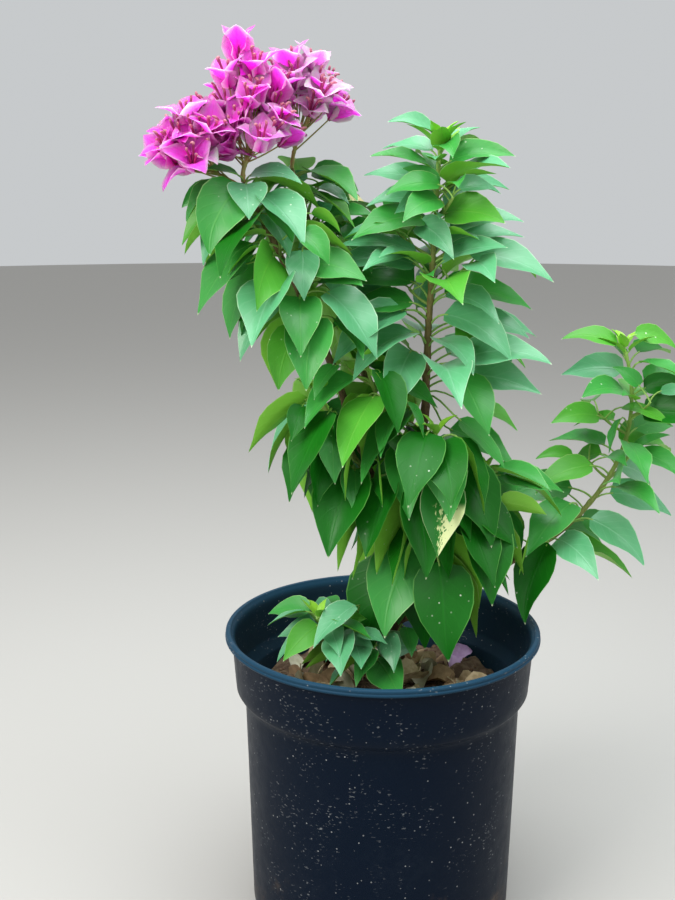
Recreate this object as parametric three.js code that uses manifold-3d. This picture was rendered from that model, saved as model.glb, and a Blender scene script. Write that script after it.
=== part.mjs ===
import * as THREE from 'three';
import { mergeVertices } from 'three/addons/utils/BufferGeometryUtils.js';
import Module from 'manifold-3d';

// A young bougainvillea bush in the moulded pot it was grown in: one main stem that runs up into a
// leafy leader, two flowering boughs that lean left, a low bough that arches out to the right, and
// drooping leaves round the foot. Millimetres, +Z up. The origin is on the ground under the pot's
// axis, and the plant is seen from -Y.

const GAP = 0.3;
const DEGREE = Math.PI / 180;
const GOLDEN_ANGLE = 137.508 * DEGREE;

const POT = {
  height: 290,
  rimRadius: 150,
  beadHeight: 7,
  wall: 2.4,
  beadWidth: 5.2,
  collarTop: 143.5,
  collarFoot: 140,
  collarDepth: 57,
  chamfer: 9,
  bodyTop: 131.8,
  bodyFoot: 126.8,
  footCorner: 12,
  ledgeDrop: 48,
  ledge: 8,
  base: 3,
  sides: 32,
};
const NOTCH = { width: 40, height: 38, depth: 14, drop: 5, turns: [45, 135, 225, 315] };

// The soil's top is lumpy, apart from a flat pad of this radius under the trunk.
const SOIL = { level: 221, lump: 4.5, pad: 44, rings: [0.93, 0.76, 0.58, 0.4, 0.2], edgeDrop: 4 };
const LITTER = {
  seed: 7,
  count: 12,
  length: 42,
  widthShare: 0.6,
  from: 36,
  to: 108,
  sunk: 3,
  thickness: 1.4,
};

// Bezier paths: a foot, two handles and a tip.
const TRUNK = {
  path: [[12, 15, SOIL.level - 4], [11, 14, 308], [29, 4, 410], [38, 1, 505]],
  radius: [6.4, 3.9],
  flare: 5.2,
  flareHeight: 26,
};
const BOUGHS = {
  left_bough: {
    path: [[17, 10, 335], [2, 0, 405], [-34, -18, 508], [-57, -20, 567]],
    radius: [4.2, 3.2],
  },
  back_bough: {
    path: [[26, 6, 395], [12, 22, 450], [-24, 30, 545], [-42, 30, 592]],
    radius: [3.7, 2.8],
  },
  right_bough: {
    path: [[13, 14, 286], [48, 20, 306], [90, 26, 322], [128, 32, 344]],
    radius: [3.8, 3.2],
  },
};

// A shoot is one mass: a stem, side twigs and leaves inside a box of its own. Leaf sizes and angles
// run from the foot of the stem to its tip. facing is where the shoot's leaves lean, in degrees from
// +X, and lean is how strongly. depth is how far they spread along Y, as a share of how far they
// spread along X, and tilt is how far a leaf that points along X rolls its face to the front. onTip or
// onSide names the limb that the stem starts from.
const SHOOTS = {
  leader_shoot: {
    seed: 11,
    path: [[38, 1, 505], [37, -5, 580], [44, -5, 660], [46, -5, 738]],
    radius: [3.8, 1.5],
    onTip: 'trunk',
    leaves: 39,
    blade: [88, 46],
    widthShare: 0.5,
    stalk: [27, 11],
    rise: [30, 54],
    pitch: [4, 24],
    curl: [56, 42],
    tilt: 26,
    facing: 0,
    lean: 0.1,
    depth: 0.6,
    twigs: 3,
    reach: [[-78, -124, 432], [160, 118, 766]],
  },
  left_shoot: {
    seed: 23,
    path: [[-57, -20, 567], [-74, -20, 606], [-105, -20, 664], [-124, -20, 704]],
    radius: [3.1, 2.2],
    onTip: 'left_bough',
    leaves: 22,
    blade: [76, 66],
    widthShare: 0.6,
    stalk: [23, 17],
    rise: [6, 26],
    pitch: [-40, -14],
    curl: [50, 44],
    tilt: 12,
    facing: 200,
    lean: 0.16,
    depth: 1,
    twigs: 2,
    reach: [[-192, -122, 462], [-2, 76, 724]],
  },
  inner_spray: {
    seed: 97,
    path: [[33, 3, 450], [12, -12, 480], [-10, -26, 508], [-18, -34, 552]],
    radius: [2.4, 1.4],
    onSide: 'trunk',
    leaves: 16,
    blade: [80, 68],
    widthShare: 0.55,
    stalk: [20, 16],
    rise: [8, 26],
    pitch: [-46, -26],
    curl: [34, 40],
    tilt: 10,
    facing: 225,
    lean: 0.34,
    depth: 1,
    twigs: 2,
    reach: [[-92, -134, 384], [58, 60, 604]],
  },
  front_spray: {
    seed: 67,
    path: [[18, 10, 344], [38, -14, 376], [52, -32, 432], [44, -42, 490]],
    radius: [2.6, 1.4],
    onSide: 'trunk',
    leaves: 18,
    blade: [98, 80],
    widthShare: 0.58,
    stalk: [20, 17],
    rise: [2, 14],
    pitch: [-66, -52],
    curl: [22, 30],
    tilt: 0,
    facing: 275,
    lean: 0.5,
    depth: 1,
    twigs: 2,
    reach: [[-66, -138, 240], [130, 14, 536]],
  },
  left_spray: {
    seed: 53,
    path: [[22, 8, 372], [-4, -8, 424], [-36, -30, 474], [-62, -38, 524]],
    radius: [2.6, 1.5],
    onSide: 'trunk',
    leaves: 17,
    blade: [86, 82],
    widthShare: 0.57,
    stalk: [22, 18],
    rise: [6, 22],
    pitch: [-60, -44],
    curl: [34, 38],
    tilt: 10,
    facing: 215,
    lean: 0.38,
    depth: 1,
    twigs: 2,
    reach: [[-124, -122, 352], [30, 44, 566]],
  },
  right_spray: {
    seed: 71,
    path: [[19, 9, 356], [46, 2, 376], [80, -8, 404], [92, -14, 446]],
    radius: [2.5, 1.4],
    onSide: 'trunk',
    leaves: 18,
    blade: [92, 80],
    widthShare: 0.56,
    stalk: [22, 18],
    rise: [6, 26],
    pitch: [-54, -30],
    curl: [30, 38],
    tilt: 16,
    facing: 350,
    lean: 0.34,
    depth: 1,
    twigs: 2,
    reach: [[16, -116, 244], [178, 104, 520]],
  },
  back_shoot: {
    seed: 37,
    path: [[-42, 30, 592], [-55, 30, 628], [-72, 30, 676], [-84, 28, 716]],
    radius: [2.7, 1.9],
    onTip: 'back_bough',
    leaves: 20,
    blade: [78, 64],
    widthShare: 0.54,
    stalk: [22, 16],
    rise: [10, 30],
    pitch: [-36, -6],
    curl: [50, 42],
    tilt: 14,
    facing: 50,
    lean: 0.26,
    depth: 1,
    twigs: 2,
    reach: [[-168, -60, 500], [44, 128, 740]],
  },
  rear_spray: {
    seed: 83,
    path: [[19, 9, 352], [26, 30, 386], [34, 50, 424], [36, 62, 462]],
    radius: [2.5, 1.4],
    onSide: 'trunk',
    leaves: 16,
    blade: [90, 76],
    widthShare: 0.58,
    stalk: [22, 18],
    rise: [4, 20],
    pitch: [-58, -40],
    curl: [28, 36],
    tilt: 0,
    facing: 80,
    lean: 0.44,
    depth: 1,
    twigs: 2,
    reach: [[-74, 12, 262], [126, 158, 520]],
  },
  right_shoot: {
    seed: 41,
    path: [[128, 32, 344], [200, 44, 376], [268, 56, 452], [228, 50, 553]],
    radius: [3.1, 1.4],
    onTip: 'right_bough',
    leaves: 27,
    blade: [74, 50],
    widthShare: 0.47,
    stalk: [27, 13],
    rise: [20, 54],
    pitch: [-8, 18],
    curl: [48, 42],
    tilt: 34,
    facing: 0,
    lean: 0.04,
    depth: 0.65,
    twigs: 2,
    reach: [[92, -76, 262], [311, 160, 592]],
  },
  basal_shoot: {
    seed: 103,
    path: [[12, 15, 246], [-8, 0, 264], [-38, -22, 280], [-62, -34, 310]],
    radius: [2.2, 1.2],
    onSide: 'trunk',
    leaves: 15,
    blade: [62, 50],
    widthShare: 0.56,
    stalk: [18, 11],
    rise: [4, 30],
    pitch: [-26, 2],
    curl: [34, 34],
    tilt: 12,
    facing: 240,
    lean: 0.24,
    depth: 1,
    twigs: 2,
    reach: [[-122, -112, 233], [36, 70, 352]],
  },
};

// The largest leaves in front, which each shoot's rule fills in around. A stalk leaves its stem at a
// share of the stem's length. Headings are in degrees from +X, and widths are shares of the length.
const LEADING = {
  front_spray: [
    {
      stalk: { at: 0.26, heading: 295, rise: -14, length: 38 },
      blade: { heading: 281, pitch: -60, curl: 24, roll: 0, length: 92, width: 0.62 },
    },
    {
      stalk: { at: 0.49, heading: 332, rise: 3, length: 32 },
      blade: { heading: 317, pitch: -48, curl: 26, roll: 6, length: 74, width: 0.6 },
    },
    {
      stalk: { at: 0.72, heading: 280, rise: 9, length: 30 },
      blade: { heading: 254, pitch: -57, curl: 24, roll: -14, length: 70, width: 0.56 },
    },
    {
      stalk: { at: 0.64, heading: 227, rise: 14, length: 30 },
      blade: { heading: 293, pitch: -59, curl: 22, roll: 6, length: 84, width: 0.5 },
    },
  ],
  left_spray: [
    {
      stalk: { at: 0.41, heading: 301, rise: 18, length: 36 },
      blade: { heading: 228, pitch: -49, curl: 26, roll: 4, length: 76, width: 0.58 },
    },
    {
      stalk: { at: 0.86, heading: 272, rise: 20, length: 22 },
      blade: { heading: 223, pitch: -42, curl: 30, roll: 6, length: 82, width: 0.6 },
    },
  ],
  inner_spray: [
    {
      stalk: { at: 0.45, heading: 318, rise: 32, length: 30 },
      blade: { heading: 217, pitch: -30, curl: 30, roll: 8, length: 86, width: 0.54 },
    },
  ],
  leader_shoot: [
    {
      stalk: { at: 0.63, heading: 319, rise: 33, length: 20 },
      blade: { heading: 355, pitch: 36, curl: 60, roll: 30, length: 68, width: 0.48 },
    },
    {
      stalk: { at: 0.55, heading: 344, rise: 16, length: 34 },
      blade: { heading: 349, pitch: 2, curl: 40, roll: 34, length: 80, width: 0.5 },
    },
    {
      stalk: { at: 0.14, heading: 330, rise: 18, length: 34 },
      blade: { heading: 349, pitch: 28, curl: 56, roll: 32, length: 86, width: 0.5 },
    },
    {
      stalk: { at: 0.09, heading: 322, rise: 15, length: 36 },
      blade: { heading: 305, pitch: -35, curl: 30, roll: 4, length: 64, width: 0.64 },
    },
    {
      stalk: { at: 0.33, heading: 215, rise: 23, length: 30 },
      blade: { heading: 202, pitch: -14, curl: 40, roll: -24, length: 84, width: 0.5 },
    },
    {
      stalk: { at: 0.54, heading: 208, rise: 37, length: 20 },
      blade: { heading: 185, pitch: 27, curl: 46, roll: -22, length: 75, width: 0.44 },
    },
  ],
  right_shoot: [
    {
      stalk: { at: 0.11, heading: 278, rise: 24, length: 32 },
      blade: { heading: 217, pitch: -51, curl: 30, roll: -20, length: 82, width: 0.46 },
    },
  ],
};

// A leaf's sizes are shares of its blade's length. Its rings stand at the stations along the blade.
// from and to are shares of the stem, and key tells a twig's leaves from the stem's own.
const LEAF = {
  thicknessShare: 0.022,
  stations: [0.34, 0.72, 1],
  stalkRadius: 1.2,
  neck: 3,
  from: 0.06,
  to: 0.99,
};
const TWIG = {
  length: 30,
  lift: 0.7,
  sag: 0.08,
  turn: 2.1,
  radius: [1.5, 1.0],
  from: 0.35,
  to: 0.85,
  leaves: 3,
  leavesFrom: 0.5,
  leavesTo: 0.97,
  bladeShare: 0.72,
  key: 200,
};

// How far one leaf strays from its shoot's rule. Each further try for a free place strays more and is
// a little smaller.
const STRAY = {
  spin: 0.3,
  rise: 10,
  stalk: 0.18,
  length: 0.12,
  turn: 0.34,
  pitch: 13,
  curl: 0.2,
  roll: 0.46,
  width: 0.09,
};
const TRIES = { most: 24, slack: 0.2, shrink: 0.014 };

// A flower cluster is a mass too: a stem, a flower stalk to each triplet, and three papery bracts
// round each stalk's end. The triplets stand evenly over a dome of the given half sizes.
const CLUSTERS = {
  main_flower_cluster: {
    seed: 131,
    path: [[-124, -20, 704], [-126, -20, 712], [-122, -19, 722], [-118, -17, 730]],
    radius: [2.1, 1.7],
    onTip: 'left_shoot',
    triplets: 13,
    dome: { centre: [-118, -16, 742], half: [36, 32, 58] },
  },
  left_flower_cluster: {
    seed: 149,
    path: [[-121, -20, 698], [-134, -24, 704], [-144, -26, 710], [-154, -27, 716]],
    radius: [1.9, 1.5],
    onSide: 'left_shoot',
    triplets: 9,
    dome: { centre: [-166, -28, 722], half: [28, 30, 32] },
  },
  right_flower_cluster: {
    seed: 163,
    path: [[-84, 28, 716], [-84, 28, 726], [-80, 27, 738], [-76, 26, 748]],
    radius: [1.8, 1.5],
    onTip: 'back_shoot',
    triplets: 10,
    dome: { centre: [-74, 24, 762], half: [30, 28, 40] },
  },
};
const DOME = { fall: 1.45, core: 0.72, lift: 0.75, stalksFrom: 0.35, stalksTo: 0.95 };
const BRACT = {
  length: 35,
  stray: 0.15,
  waist: 0.6,
  spread: 38,
  notch: 0.16,
  rise: 50,
  riseStray: 12,
  flare: 14,
  thickness: 1.4,
};
const FLOWER_STALK = { radius: 1.1, sunk: 2.5 };
const LIMB = { sides: 7, steps: 10, stemSides: 5, stemSteps: 7, twigSides: 4, twigSteps: 3 };

const COLOURS = {
  pot: { color: 0x1b2027, roughness: 0.55 },
  soil: { color: 0x6d5644, roughness: 0.95 },
  bark: { color: 0x57402f, roughness: 0.85 },
  leaf: { color: 0x3f8f3c, roughness: 0.5 },
  bract: { color: 0xd64fc0, roughness: 0.6 },
};

const vector = (point) => new THREE.Vector3(...point);
const mix = THREE.MathUtils.lerp;
const UP = new THREE.Vector3(0, 0, 1);

// A seeded draw between 0 and 1: the same seed, number and use always give the same value.
function draw(seed, number, use) {
  let h = Math.imul(seed, 374761393) ^ Math.imul(number + 1, 668265263) ^ Math.imul(use + 1, 974711);
  h = Math.imul(h ^ (h >>> 15), 2146121005);
  h = Math.imul(h ^ (h >>> 13), 1540483477);
  return ((h ^ (h >>> 16)) >>> 0) / 4294967296;
}

// The same as a share that strays from 1, or a value that strays from 0, by the amount given.
const swing = (seed, number, use, amount) => (draw(seed, number, use) * 2 - 1) * amount;

function solidOf(geometry) {
  const bare = new THREE.BufferGeometry();
  bare.setAttribute('position', geometry.getAttribute('position'));
  bare.setIndex(geometry.getIndex());
  const merged = mergeVertices(bare, 1e-4);
  const corners = [...merged.index.array];
  const faces = [];
  for (let i = 0; i < corners.length; i += 3) {
    const [a, b, c] = corners.slice(i, i + 3);
    if (a !== b && b !== c && c !== a) faces.push(a, b, c);
  }
  const solid = new wasm.Manifold(
    new wasm.Mesh({
      numProp: 3,
      vertProperties: new Float32Array(merged.attributes.position.array),
      triVerts: new Uint32Array(faces),
    }),
  );
  if (solid.volume() <= 0) throw new Error('a solid is inside out');
  return solid;
}

// Bends a unit cylinder along a path, with the radius that it has at each share of the way.
function limbGeometry(path, radiusAt, sides, steps) {
  const curve = new THREE.CubicBezierCurve3(...path.map(vector));
  const frames = curve.computeFrenetFrames(steps, false);
  const geometry = new THREE.CylinderGeometry(1, 1, 1, sides, steps);
  const position = geometry.getAttribute('position');
  for (let i = 0; i < position.count; i += 1) {
    const step = Math.round((position.getY(i) + 0.5) * steps);
    const centre = curve.getPointAt(step / steps);
    const radius = radiusAt(step / steps, centre);
    centre.addScaledVector(frames.normals[step], position.getX(i) * radius);
    centre.addScaledVector(frames.binormals[step], -position.getZ(i) * radius);
    position.setXYZ(i, centre.x, centre.y, centre.z);
  }
  return geometry;
}

function taper(radius, grow = 0) {
  return (share) => mix(radius[0], radius[1], share) + grow;
}

function trunkRadius(grow = 0) {
  return (share, centre) => {
    const height = (centre.z - SOIL.level) / TRUNK.flareHeight;
    const flare = TRUNK.flare * Math.max(0, 1 - height) ** 2;
    return mix(TRUNK.radius[0], TRUNK.radius[1], share) + flare + grow;
  };
}

// The point and the frame of a blade's midrib, s of the way from its base to its tip.
function midrib(blade, s) {
  const bend = Math.max(blade.curl, 0.02);
  const pitch = blade.pitch - bend * s;
  const run = (Math.sin(blade.pitch) - Math.sin(pitch)) / bend;
  const climb = (Math.cos(pitch) - Math.cos(blade.pitch)) / bend;
  const out = new THREE.Vector3(Math.cos(blade.azimuth), Math.sin(blade.azimuth), 0);
  const side = new THREE.Vector3(-out.y, out.x, 0);
  const point = blade.base.clone();
  point.addScaledVector(out, run * blade.length).addScaledVector(UP, climb * blade.length);
  const normal = out.clone().multiplyScalar(-Math.sin(pitch)).addScaledVector(UP, Math.cos(pitch));
  const heading = out.clone().multiplyScalar(Math.cos(pitch)).addScaledVector(UP, Math.sin(pitch));
  side.applyAxisAngle(heading, blade.roll);
  normal.applyAxisAngle(heading, blade.roll);
  return { point, normal, side };
}

// Half the blade's width, as a share of the whole: round at the base, drawn out to a tip.
function halfWidth(s) {
  return 0.5 * Math.sin(Math.PI * s ** 0.7) ** 1.1 * (1 - 0.3 * Math.max(0, (s - 0.7) / 0.3) ** 2);
}

// The rings of a leaf from end to end: a point sunk in its stem, two rings of the stalk, two of the
// blade and the blade's tip. A blade on its own leaves the stalk's rings out.
function leafRings(leaf, withStalk) {
  const blade = LEAF.stations.map((s) => ({
    ...midrib(leaf, s),
    half: s < 1 ? halfWidth(s) * leaf.width : 0,
    deep: s < 1 ? leaf.thickness : 0,
  }));
  if (!withStalk) return [{ ...midrib(leaf, 0.04), half: 0, deep: 0 }, ...blade];
  const along = leaf.base.clone().sub(leaf.origin);
  const frame = frameOf(along);
  const endFrame = between(frame, midrib(leaf, 0));
  return [...stalkRings(leaf.origin, along, LEAF.stalkRadius, frame, endFrame), ...blade];
}

// The frame of a stalk: level across, and up from it.
function frameOf(along) {
  const side = UP.clone().cross(along).normalize();
  return { side, normal: along.clone().cross(side).normalize() };
}

function between(a, b) {
  return {
    side: a.side.clone().add(b.side).normalize(),
    normal: a.normal.clone().add(b.normal).normalize(),
  };
}

// A stalk that starts as a point behind its origin and has its whole thickness from the neck on.
function stalkRings(origin, along, radius, frame, endFrame) {
  return [-0.05, LEAF.neck / along.length(), 1].map((share) => ({
    ...(share < 1 ? frame : endFrame),
    point: origin.clone().addScaledVector(along, share),
    half: share < 0 ? 0 : radius,
    deep: share < 0 ? 0 : radius * 1.6,
  }));
}

// A three-sided sphere bent along its rings: two of its sides are a leaf's margins and the third is
// the keel under the midrib.
function threeSided(rings) {
  const geometry = new THREE.SphereGeometry(1, 3, rings.length - 1);
  const position = geometry.getAttribute('position');
  for (let i = 0; i < position.count; i += 1) {
    const ring = rings[Math.round((Math.acos(position.getY(i)) / Math.PI) * (rings.length - 1))];
    const point = ring.point.clone();
    const corner = Math.round(Math.atan2(position.getZ(i), -position.getX(i)) / (120 * DEGREE));
    const across = ring.half > 0 ? [-1, 1, 0][(corner + 3) % 3] : 0;
    const below = across === 0 && ring.half > 0;
    point.addScaledVector(ring.side, across * ring.half);
    point.addScaledVector(ring.normal, below ? -ring.deep : 0);
    position.setXYZ(i, point.x, point.y, point.z);
  }
  return geometry;
}

function leafGeometry(leaf, withStalk = true) {
  return threeSided(leafRings(leaf, withStalk));
}

// A straight flower stalk, pointed at both ends.
function stalkGeometry(from, to, radius) {
  const along = to.clone().sub(from);
  const heading = along.clone().normalize();
  const side = new THREE.Vector3(0.8, 0.6, 0).cross(heading).normalize();
  const frame = { side, normal: heading.clone().cross(side) };
  const end = { ...frame, point: to, half: 0, deep: 0 };
  return threeSided([...stalkRings(from, along.multiplyScalar(0.9), radius, frame, frame), end]);
}

// Everything placed so far, so that what comes later keeps clear of it.
const placed = [];

function place(owner, kind, solid) {
  placed.push({ owner, kind, solid, box: solid.boundingBox() });
  return solid;
}

function boxesMeet(a, b) {
  return [0, 1, 2].every((k) => a.min[k] < b.max[k] && b.min[k] < a.max[k]);
}

function touches(solid, counts) {
  const box = solid.boundingBox();
  return placed.some((other) => {
    if (!counts(other) || !boxesMeet(box, other.box)) return false;
    const common = solid.intersect(other.solid);
    const hit = !common.isEmpty();
    common.delete();
    return hit;
  });
}

// Whether the solid comes nearer than the gap to any of the placed ones that count.
function comesNear(solid, counts) {
  const { min, max } = solid.boundingBox();
  const box = { min: min.map((v) => v - GAP), max: max.map((v) => v + GAP) };
  return placed.some(
    (other) => counts(other) && boxesMeet(box, other.box) && solid.minGap(other.solid, 2 * GAP) < GAP,
  );
}

function inside(solid, reach) {
  const box = solid.boundingBox();
  return [0, 1, 2].every((k) => box.min[k] >= reach[0][k] && box.max[k] <= reach[1][k]);
}

// The compass heading of a leaf or twig: it turns round its stem by the golden angle, and leans
// towards the side that the shoot faces.
function headingOf(shoot, spin) {
  const facing = shoot.facing * DEGREE;
  const x = mix(Math.cos(spin), Math.cos(facing), shoot.lean);
  const y = mix(Math.sin(spin), Math.sin(facing), shoot.lean);
  return Math.atan2(y * shoot.depth, x);
}

// The end of a stalk that leaves its origin at a heading and rises at an angle.
function stalkEnd(origin, heading, rise, length) {
  const end = origin.clone();
  end.x += Math.cos(heading) * Math.cos(rise) * length;
  end.y += Math.sin(heading) * Math.cos(rise) * length;
  end.z += Math.sin(rise) * length;
  return end;
}

// One of the large leaves in front.
function leadingLeaf(curve, { stalk, blade }) {
  const origin = curve.getPointAt(stalk.at);
  return {
    origin,
    base: stalkEnd(origin, stalk.heading * DEGREE, stalk.rise * DEGREE, stalk.length),
    azimuth: blade.heading * DEGREE,
    pitch: blade.pitch * DEGREE,
    curl: blade.curl * DEGREE,
    roll: blade.roll * DEGREE,
    length: blade.length,
    width: blade.length * blade.width,
    thickness: blade.length * LEAF.thicknessShare,
  };
}

// One leaf that grows from a point on a stem or twig, as its stalk's two ends and its blade.
function leafAt(shoot, number, attempt, origin, share, size) {
  const stray = (use, amount) => swing(shoot.seed, number * TRIES.most + attempt, use, amount);
  const slack = 1 + attempt * TRIES.slack;
  const azimuth = headingOf(shoot, number * GOLDEN_ANGLE + stray(0, STRAY.spin * slack));
  const rise = (mix(...shoot.rise, share) + stray(1, STRAY.rise)) * DEGREE;
  const stalk = mix(...shoot.stalk, share) * (1 + stray(2, STRAY.stalk));
  const vigour = size * (1 - attempt * TRIES.shrink) * (1 + stray(3, STRAY.length));
  const length = mix(...shoot.blade, share ** 3) * vigour;
  const turned = azimuth + stray(4, STRAY.turn * slack);
  return {
    origin,
    base: stalkEnd(origin, azimuth, rise, stalk),
    azimuth: turned,
    pitch: (mix(...shoot.pitch, share) + stray(5, STRAY.pitch * slack)) * DEGREE,
    curl: mix(...shoot.curl, share) * DEGREE * (1 + stray(6, STRAY.curl)),
    roll: shoot.tilt * DEGREE * Math.cos(turned) + stray(7, STRAY.roll * slack),
    length,
    width: length * shoot.widthShare * (1 + stray(8, STRAY.width)),
    thickness: length * LEAF.thicknessShare,
  };
}

// Grows the leaf if its place is free. Its stalk may meet its own stem, but its blade may not.
function tryLeaf(name, shoot, leaf) {
  const solid = solidOf(leafGeometry(leaf));
  const blade = solidOf(leafGeometry(leaf, false));
  const ownStem = (other) => other.owner === name && other.kind === 'stem';
  const free =
    inside(solid, shoot.reach) && !comesNear(solid, (other) => !ownStem(other)) && !comesNear(blade, ownStem);
  blade.delete();
  return free ? place(name, 'leaf', solid) : null;
}

// The first of a leaf's tries that fits, as a list of one, or an empty list.
function growLeaf(name, shoot, number, origin, share, size) {
  for (let attempt = 0; attempt < TRIES.most; attempt += 1) {
    const solid = tryLeaf(name, shoot, leafAt(shoot, number, attempt, origin, share, size));
    if (solid) return [solid];
  }
  return [];
}

// The path of a side twig that leaves the stem and turns up.
function twigPath(shoot, curve, number, share) {
  const foot = curve.getPointAt(mix(TWIG.from, TWIG.to, share));
  const azimuth = headingOf(shoot, number * TWIG.turn + draw(shoot.seed, number, 20));
  const length = TWIG.length * (1 + swing(shoot.seed, number, 21, 0.15));
  const tip = foot.clone();
  tip.x += Math.cos(azimuth) * length;
  tip.y += Math.sin(azimuth) * length;
  tip.z += TWIG.lift * length;
  const knee = foot.clone().lerp(tip, 0.5);
  knee.z -= TWIG.sag * length;
  return [foot, knee, knee, tip].map((point) => point.toArray());
}

// A side twig with a few leaves towards its end.
function growTwig(name, shoot, curve, number) {
  const share = (number + 0.6) / (shoot.twigs + 0.6);
  const path = twigPath(shoot, curve, number, share);
  const { twigSides, twigSteps } = LIMB;
  const room = solidOf(limbGeometry(path, taper(TWIG.radius, GAP), twigSides, twigSteps));
  const blocked = !inside(room, shoot.reach) || touches(room, (other) => other.owner !== name);
  room.delete();
  if (blocked) return [];
  const stem = solidOf(limbGeometry(path, taper(TWIG.radius), twigSides, twigSteps));
  const pieces = [place(name, 'stem', stem)];
  const twig = new THREE.CubicBezierCurve3(...path.map(vector));
  for (let i = 0; i < TWIG.leaves; i += 1) {
    const origin = twig.getPointAt(mix(TWIG.leavesFrom, TWIG.leavesTo, i / (TWIG.leaves - 1)));
    const leafNumber = TWIG.key + number * TWIG.leaves + i;
    pieces.push(...growLeaf(name, shoot, leafNumber, origin, share, TWIG.bladeShare));
  }
  return pieces;
}

// The space that a limb needs with the gap round it and past its tip.
function roomOf(path, radiusAt, sides, steps) {
  const curve = new THREE.CubicBezierCurve3(...path.map(vector));
  const past = curve.getPointAt(1).addScaledVector(curve.getTangentAt(1), GAP);
  return solidOf(limbGeometry([...path.slice(0, 3), past.toArray()], radiusAt, sides, steps));
}

// The stem of a mass, cut clear of the limb that bears it and of any bough it brushes past.
function stemOf(mass) {
  const whole = solidOf(limbGeometry(mass.path, taper(mass.radius), LIMB.stemSides, LIMB.stemSteps));
  const near = new Set([mass.onTip ?? mass.onSide, 'trunk', ...Object.keys(BOUGHS)]);
  return largest([...near].reduce((stem, name) => stem.subtract(limbRoom[name]), whole));
}

function largest(solid) {
  return solid.decompose().reduce((a, b) => (a.volume() > b.volume() ? a : b));
}

function join(pieces) {
  return largest(wasm.Manifold.union(pieces));
}

function growLeading(name, leaves) {
  const curve = new THREE.CubicBezierCurve3(...SHOOTS[name].path.map(vector));
  return leaves.map((row, number) => {
    const solid = tryLeaf(name, SHOOTS[name], leadingLeaf(curve, row));
    if (!solid) throw new Error(`leading leaf ${number} of ${name} has no room`);
    return solid;
  });
}

function growShoot(name, shoot) {
  const curve = new THREE.CubicBezierCurve3(...shoot.path.map(vector));
  const pieces = [stems[name], ...(leading[name] ?? [])];
  for (let i = 0; i < shoot.twigs; i += 1) {
    pieces.push(...growTwig(name, shoot, curve, i));
  }
  for (let i = 0; i < shoot.leaves; i += 1) {
    const share = i / (shoot.leaves - 1);
    const origin = curve.getPointAt(mix(LEAF.from, LEAF.to, share));
    pieces.push(...growLeaf(name, shoot, i, origin, share, 1));
  }
  return join(pieces);
}

// Three bracts round the end of a flower stalk, as one cup with three points: a twelve-sided sphere
// whose poles are the cup's foot and its floor, and whose rim runs tip, flank, notch and flank.
function tripletSolid(triplet, grow = 0) {
  const geometry = new THREE.SphereGeometry(1, 12, 2);
  const position = geometry.getAttribute('position');
  for (let i = 0; i < position.count; i += 1) {
    const [x, y, z] = [position.getX(i), position.getY(i), position.getZ(i)];
    if (Math.abs(y) > 0.5) {
      position.setXYZ(i, 0, 0, y > 0 ? BRACT.thickness + grow : -grow);
    } else {
      const corner = (Math.round(Math.atan2(-z, x) / (30 * DEGREE)) + 12) % 12;
      const shape = [
        { reach: 1, turn: 0 },
        { reach: BRACT.waist, turn: BRACT.spread - 30 },
        { reach: BRACT.notch, turn: 0 },
        { reach: BRACT.waist, turn: 30 - BRACT.spread },
      ][corner % 4];
      const angle = (corner * 30 + shape.turn) * DEGREE;
      const along = triplet.length * shape.reach + grow;
      const rise = (triplet.rise - BRACT.flare * shape.reach) * DEGREE;
      const out = Math.cos(rise) * along;
      position.setXYZ(i, Math.cos(angle) * out, Math.sin(angle) * out, Math.sin(rise) * along);
    }
  }
  geometry.rotateZ(triplet.spin).applyQuaternion(triplet.turn);
  return solidOf(geometry.translate(triplet.tip.x, triplet.tip.y, triplet.tip.z));
}

// One triplet on a cluster's dome, with the foot of its stalk on the cluster's stem.
function tripletAt(cluster, number, curve) {
  const height = 1 - (DOME.fall * (number + 0.5)) / cluster.triplets;
  const spin = number * GOLDEN_ANGLE + cluster.seed;
  const round = Math.sqrt(1 - height * height);
  const outward = new THREE.Vector3(Math.cos(spin) * round, Math.sin(spin) * round, height);
  const depth = mix(DOME.core, 1, draw(cluster.seed, number, 33));
  const tip = outward.clone().multiply(vector(cluster.dome.half)).multiplyScalar(depth);
  const heading = outward.clone().addScaledVector(UP, DOME.lift).normalize();
  const footShare = mix(DOME.stalksFrom, DOME.stalksTo, draw(cluster.seed, number, 34));
  return {
    foot: curve.getPointAt(footShare),
    tip: tip.add(vector(cluster.dome.centre)),
    heading,
    turn: new THREE.Quaternion().setFromUnitVectors(UP, heading),
    spin: 120 * draw(cluster.seed, number, 31) * DEGREE,
    length: BRACT.length * (1 + swing(cluster.seed, number, 30, BRACT.stray)),
    rise: BRACT.rise + swing(cluster.seed, number, 32, BRACT.riseStray),
  };
}

function growCluster(name, cluster) {
  const curve = new THREE.CubicBezierCurve3(...cluster.path.map(vector));
  const pieces = [stems[name]];
  for (let i = 0; i < cluster.triplets; i += 1) {
    const triplet = tripletAt(cluster, i, curve);
    const sunk = triplet.tip.clone().addScaledVector(triplet.heading, FLOWER_STALK.sunk);
    const room = [
      tripletSolid(triplet, GAP),
      solidOf(stalkGeometry(triplet.foot, sunk, FLOWER_STALK.radius + GAP)),
    ];
    const blocked = room.some((solid) => touches(solid, (other) => other.owner !== name));
    room.forEach((solid) => solid.delete());
    if (!blocked) {
      const stalk = solidOf(stalkGeometry(triplet.foot, sunk, FLOWER_STALK.radius));
      pieces.push(place(name, 'bract', tripletSolid(triplet)), place(name, 'stalk', stalk));
    }
  }
  return join(pieces);
}

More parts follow.
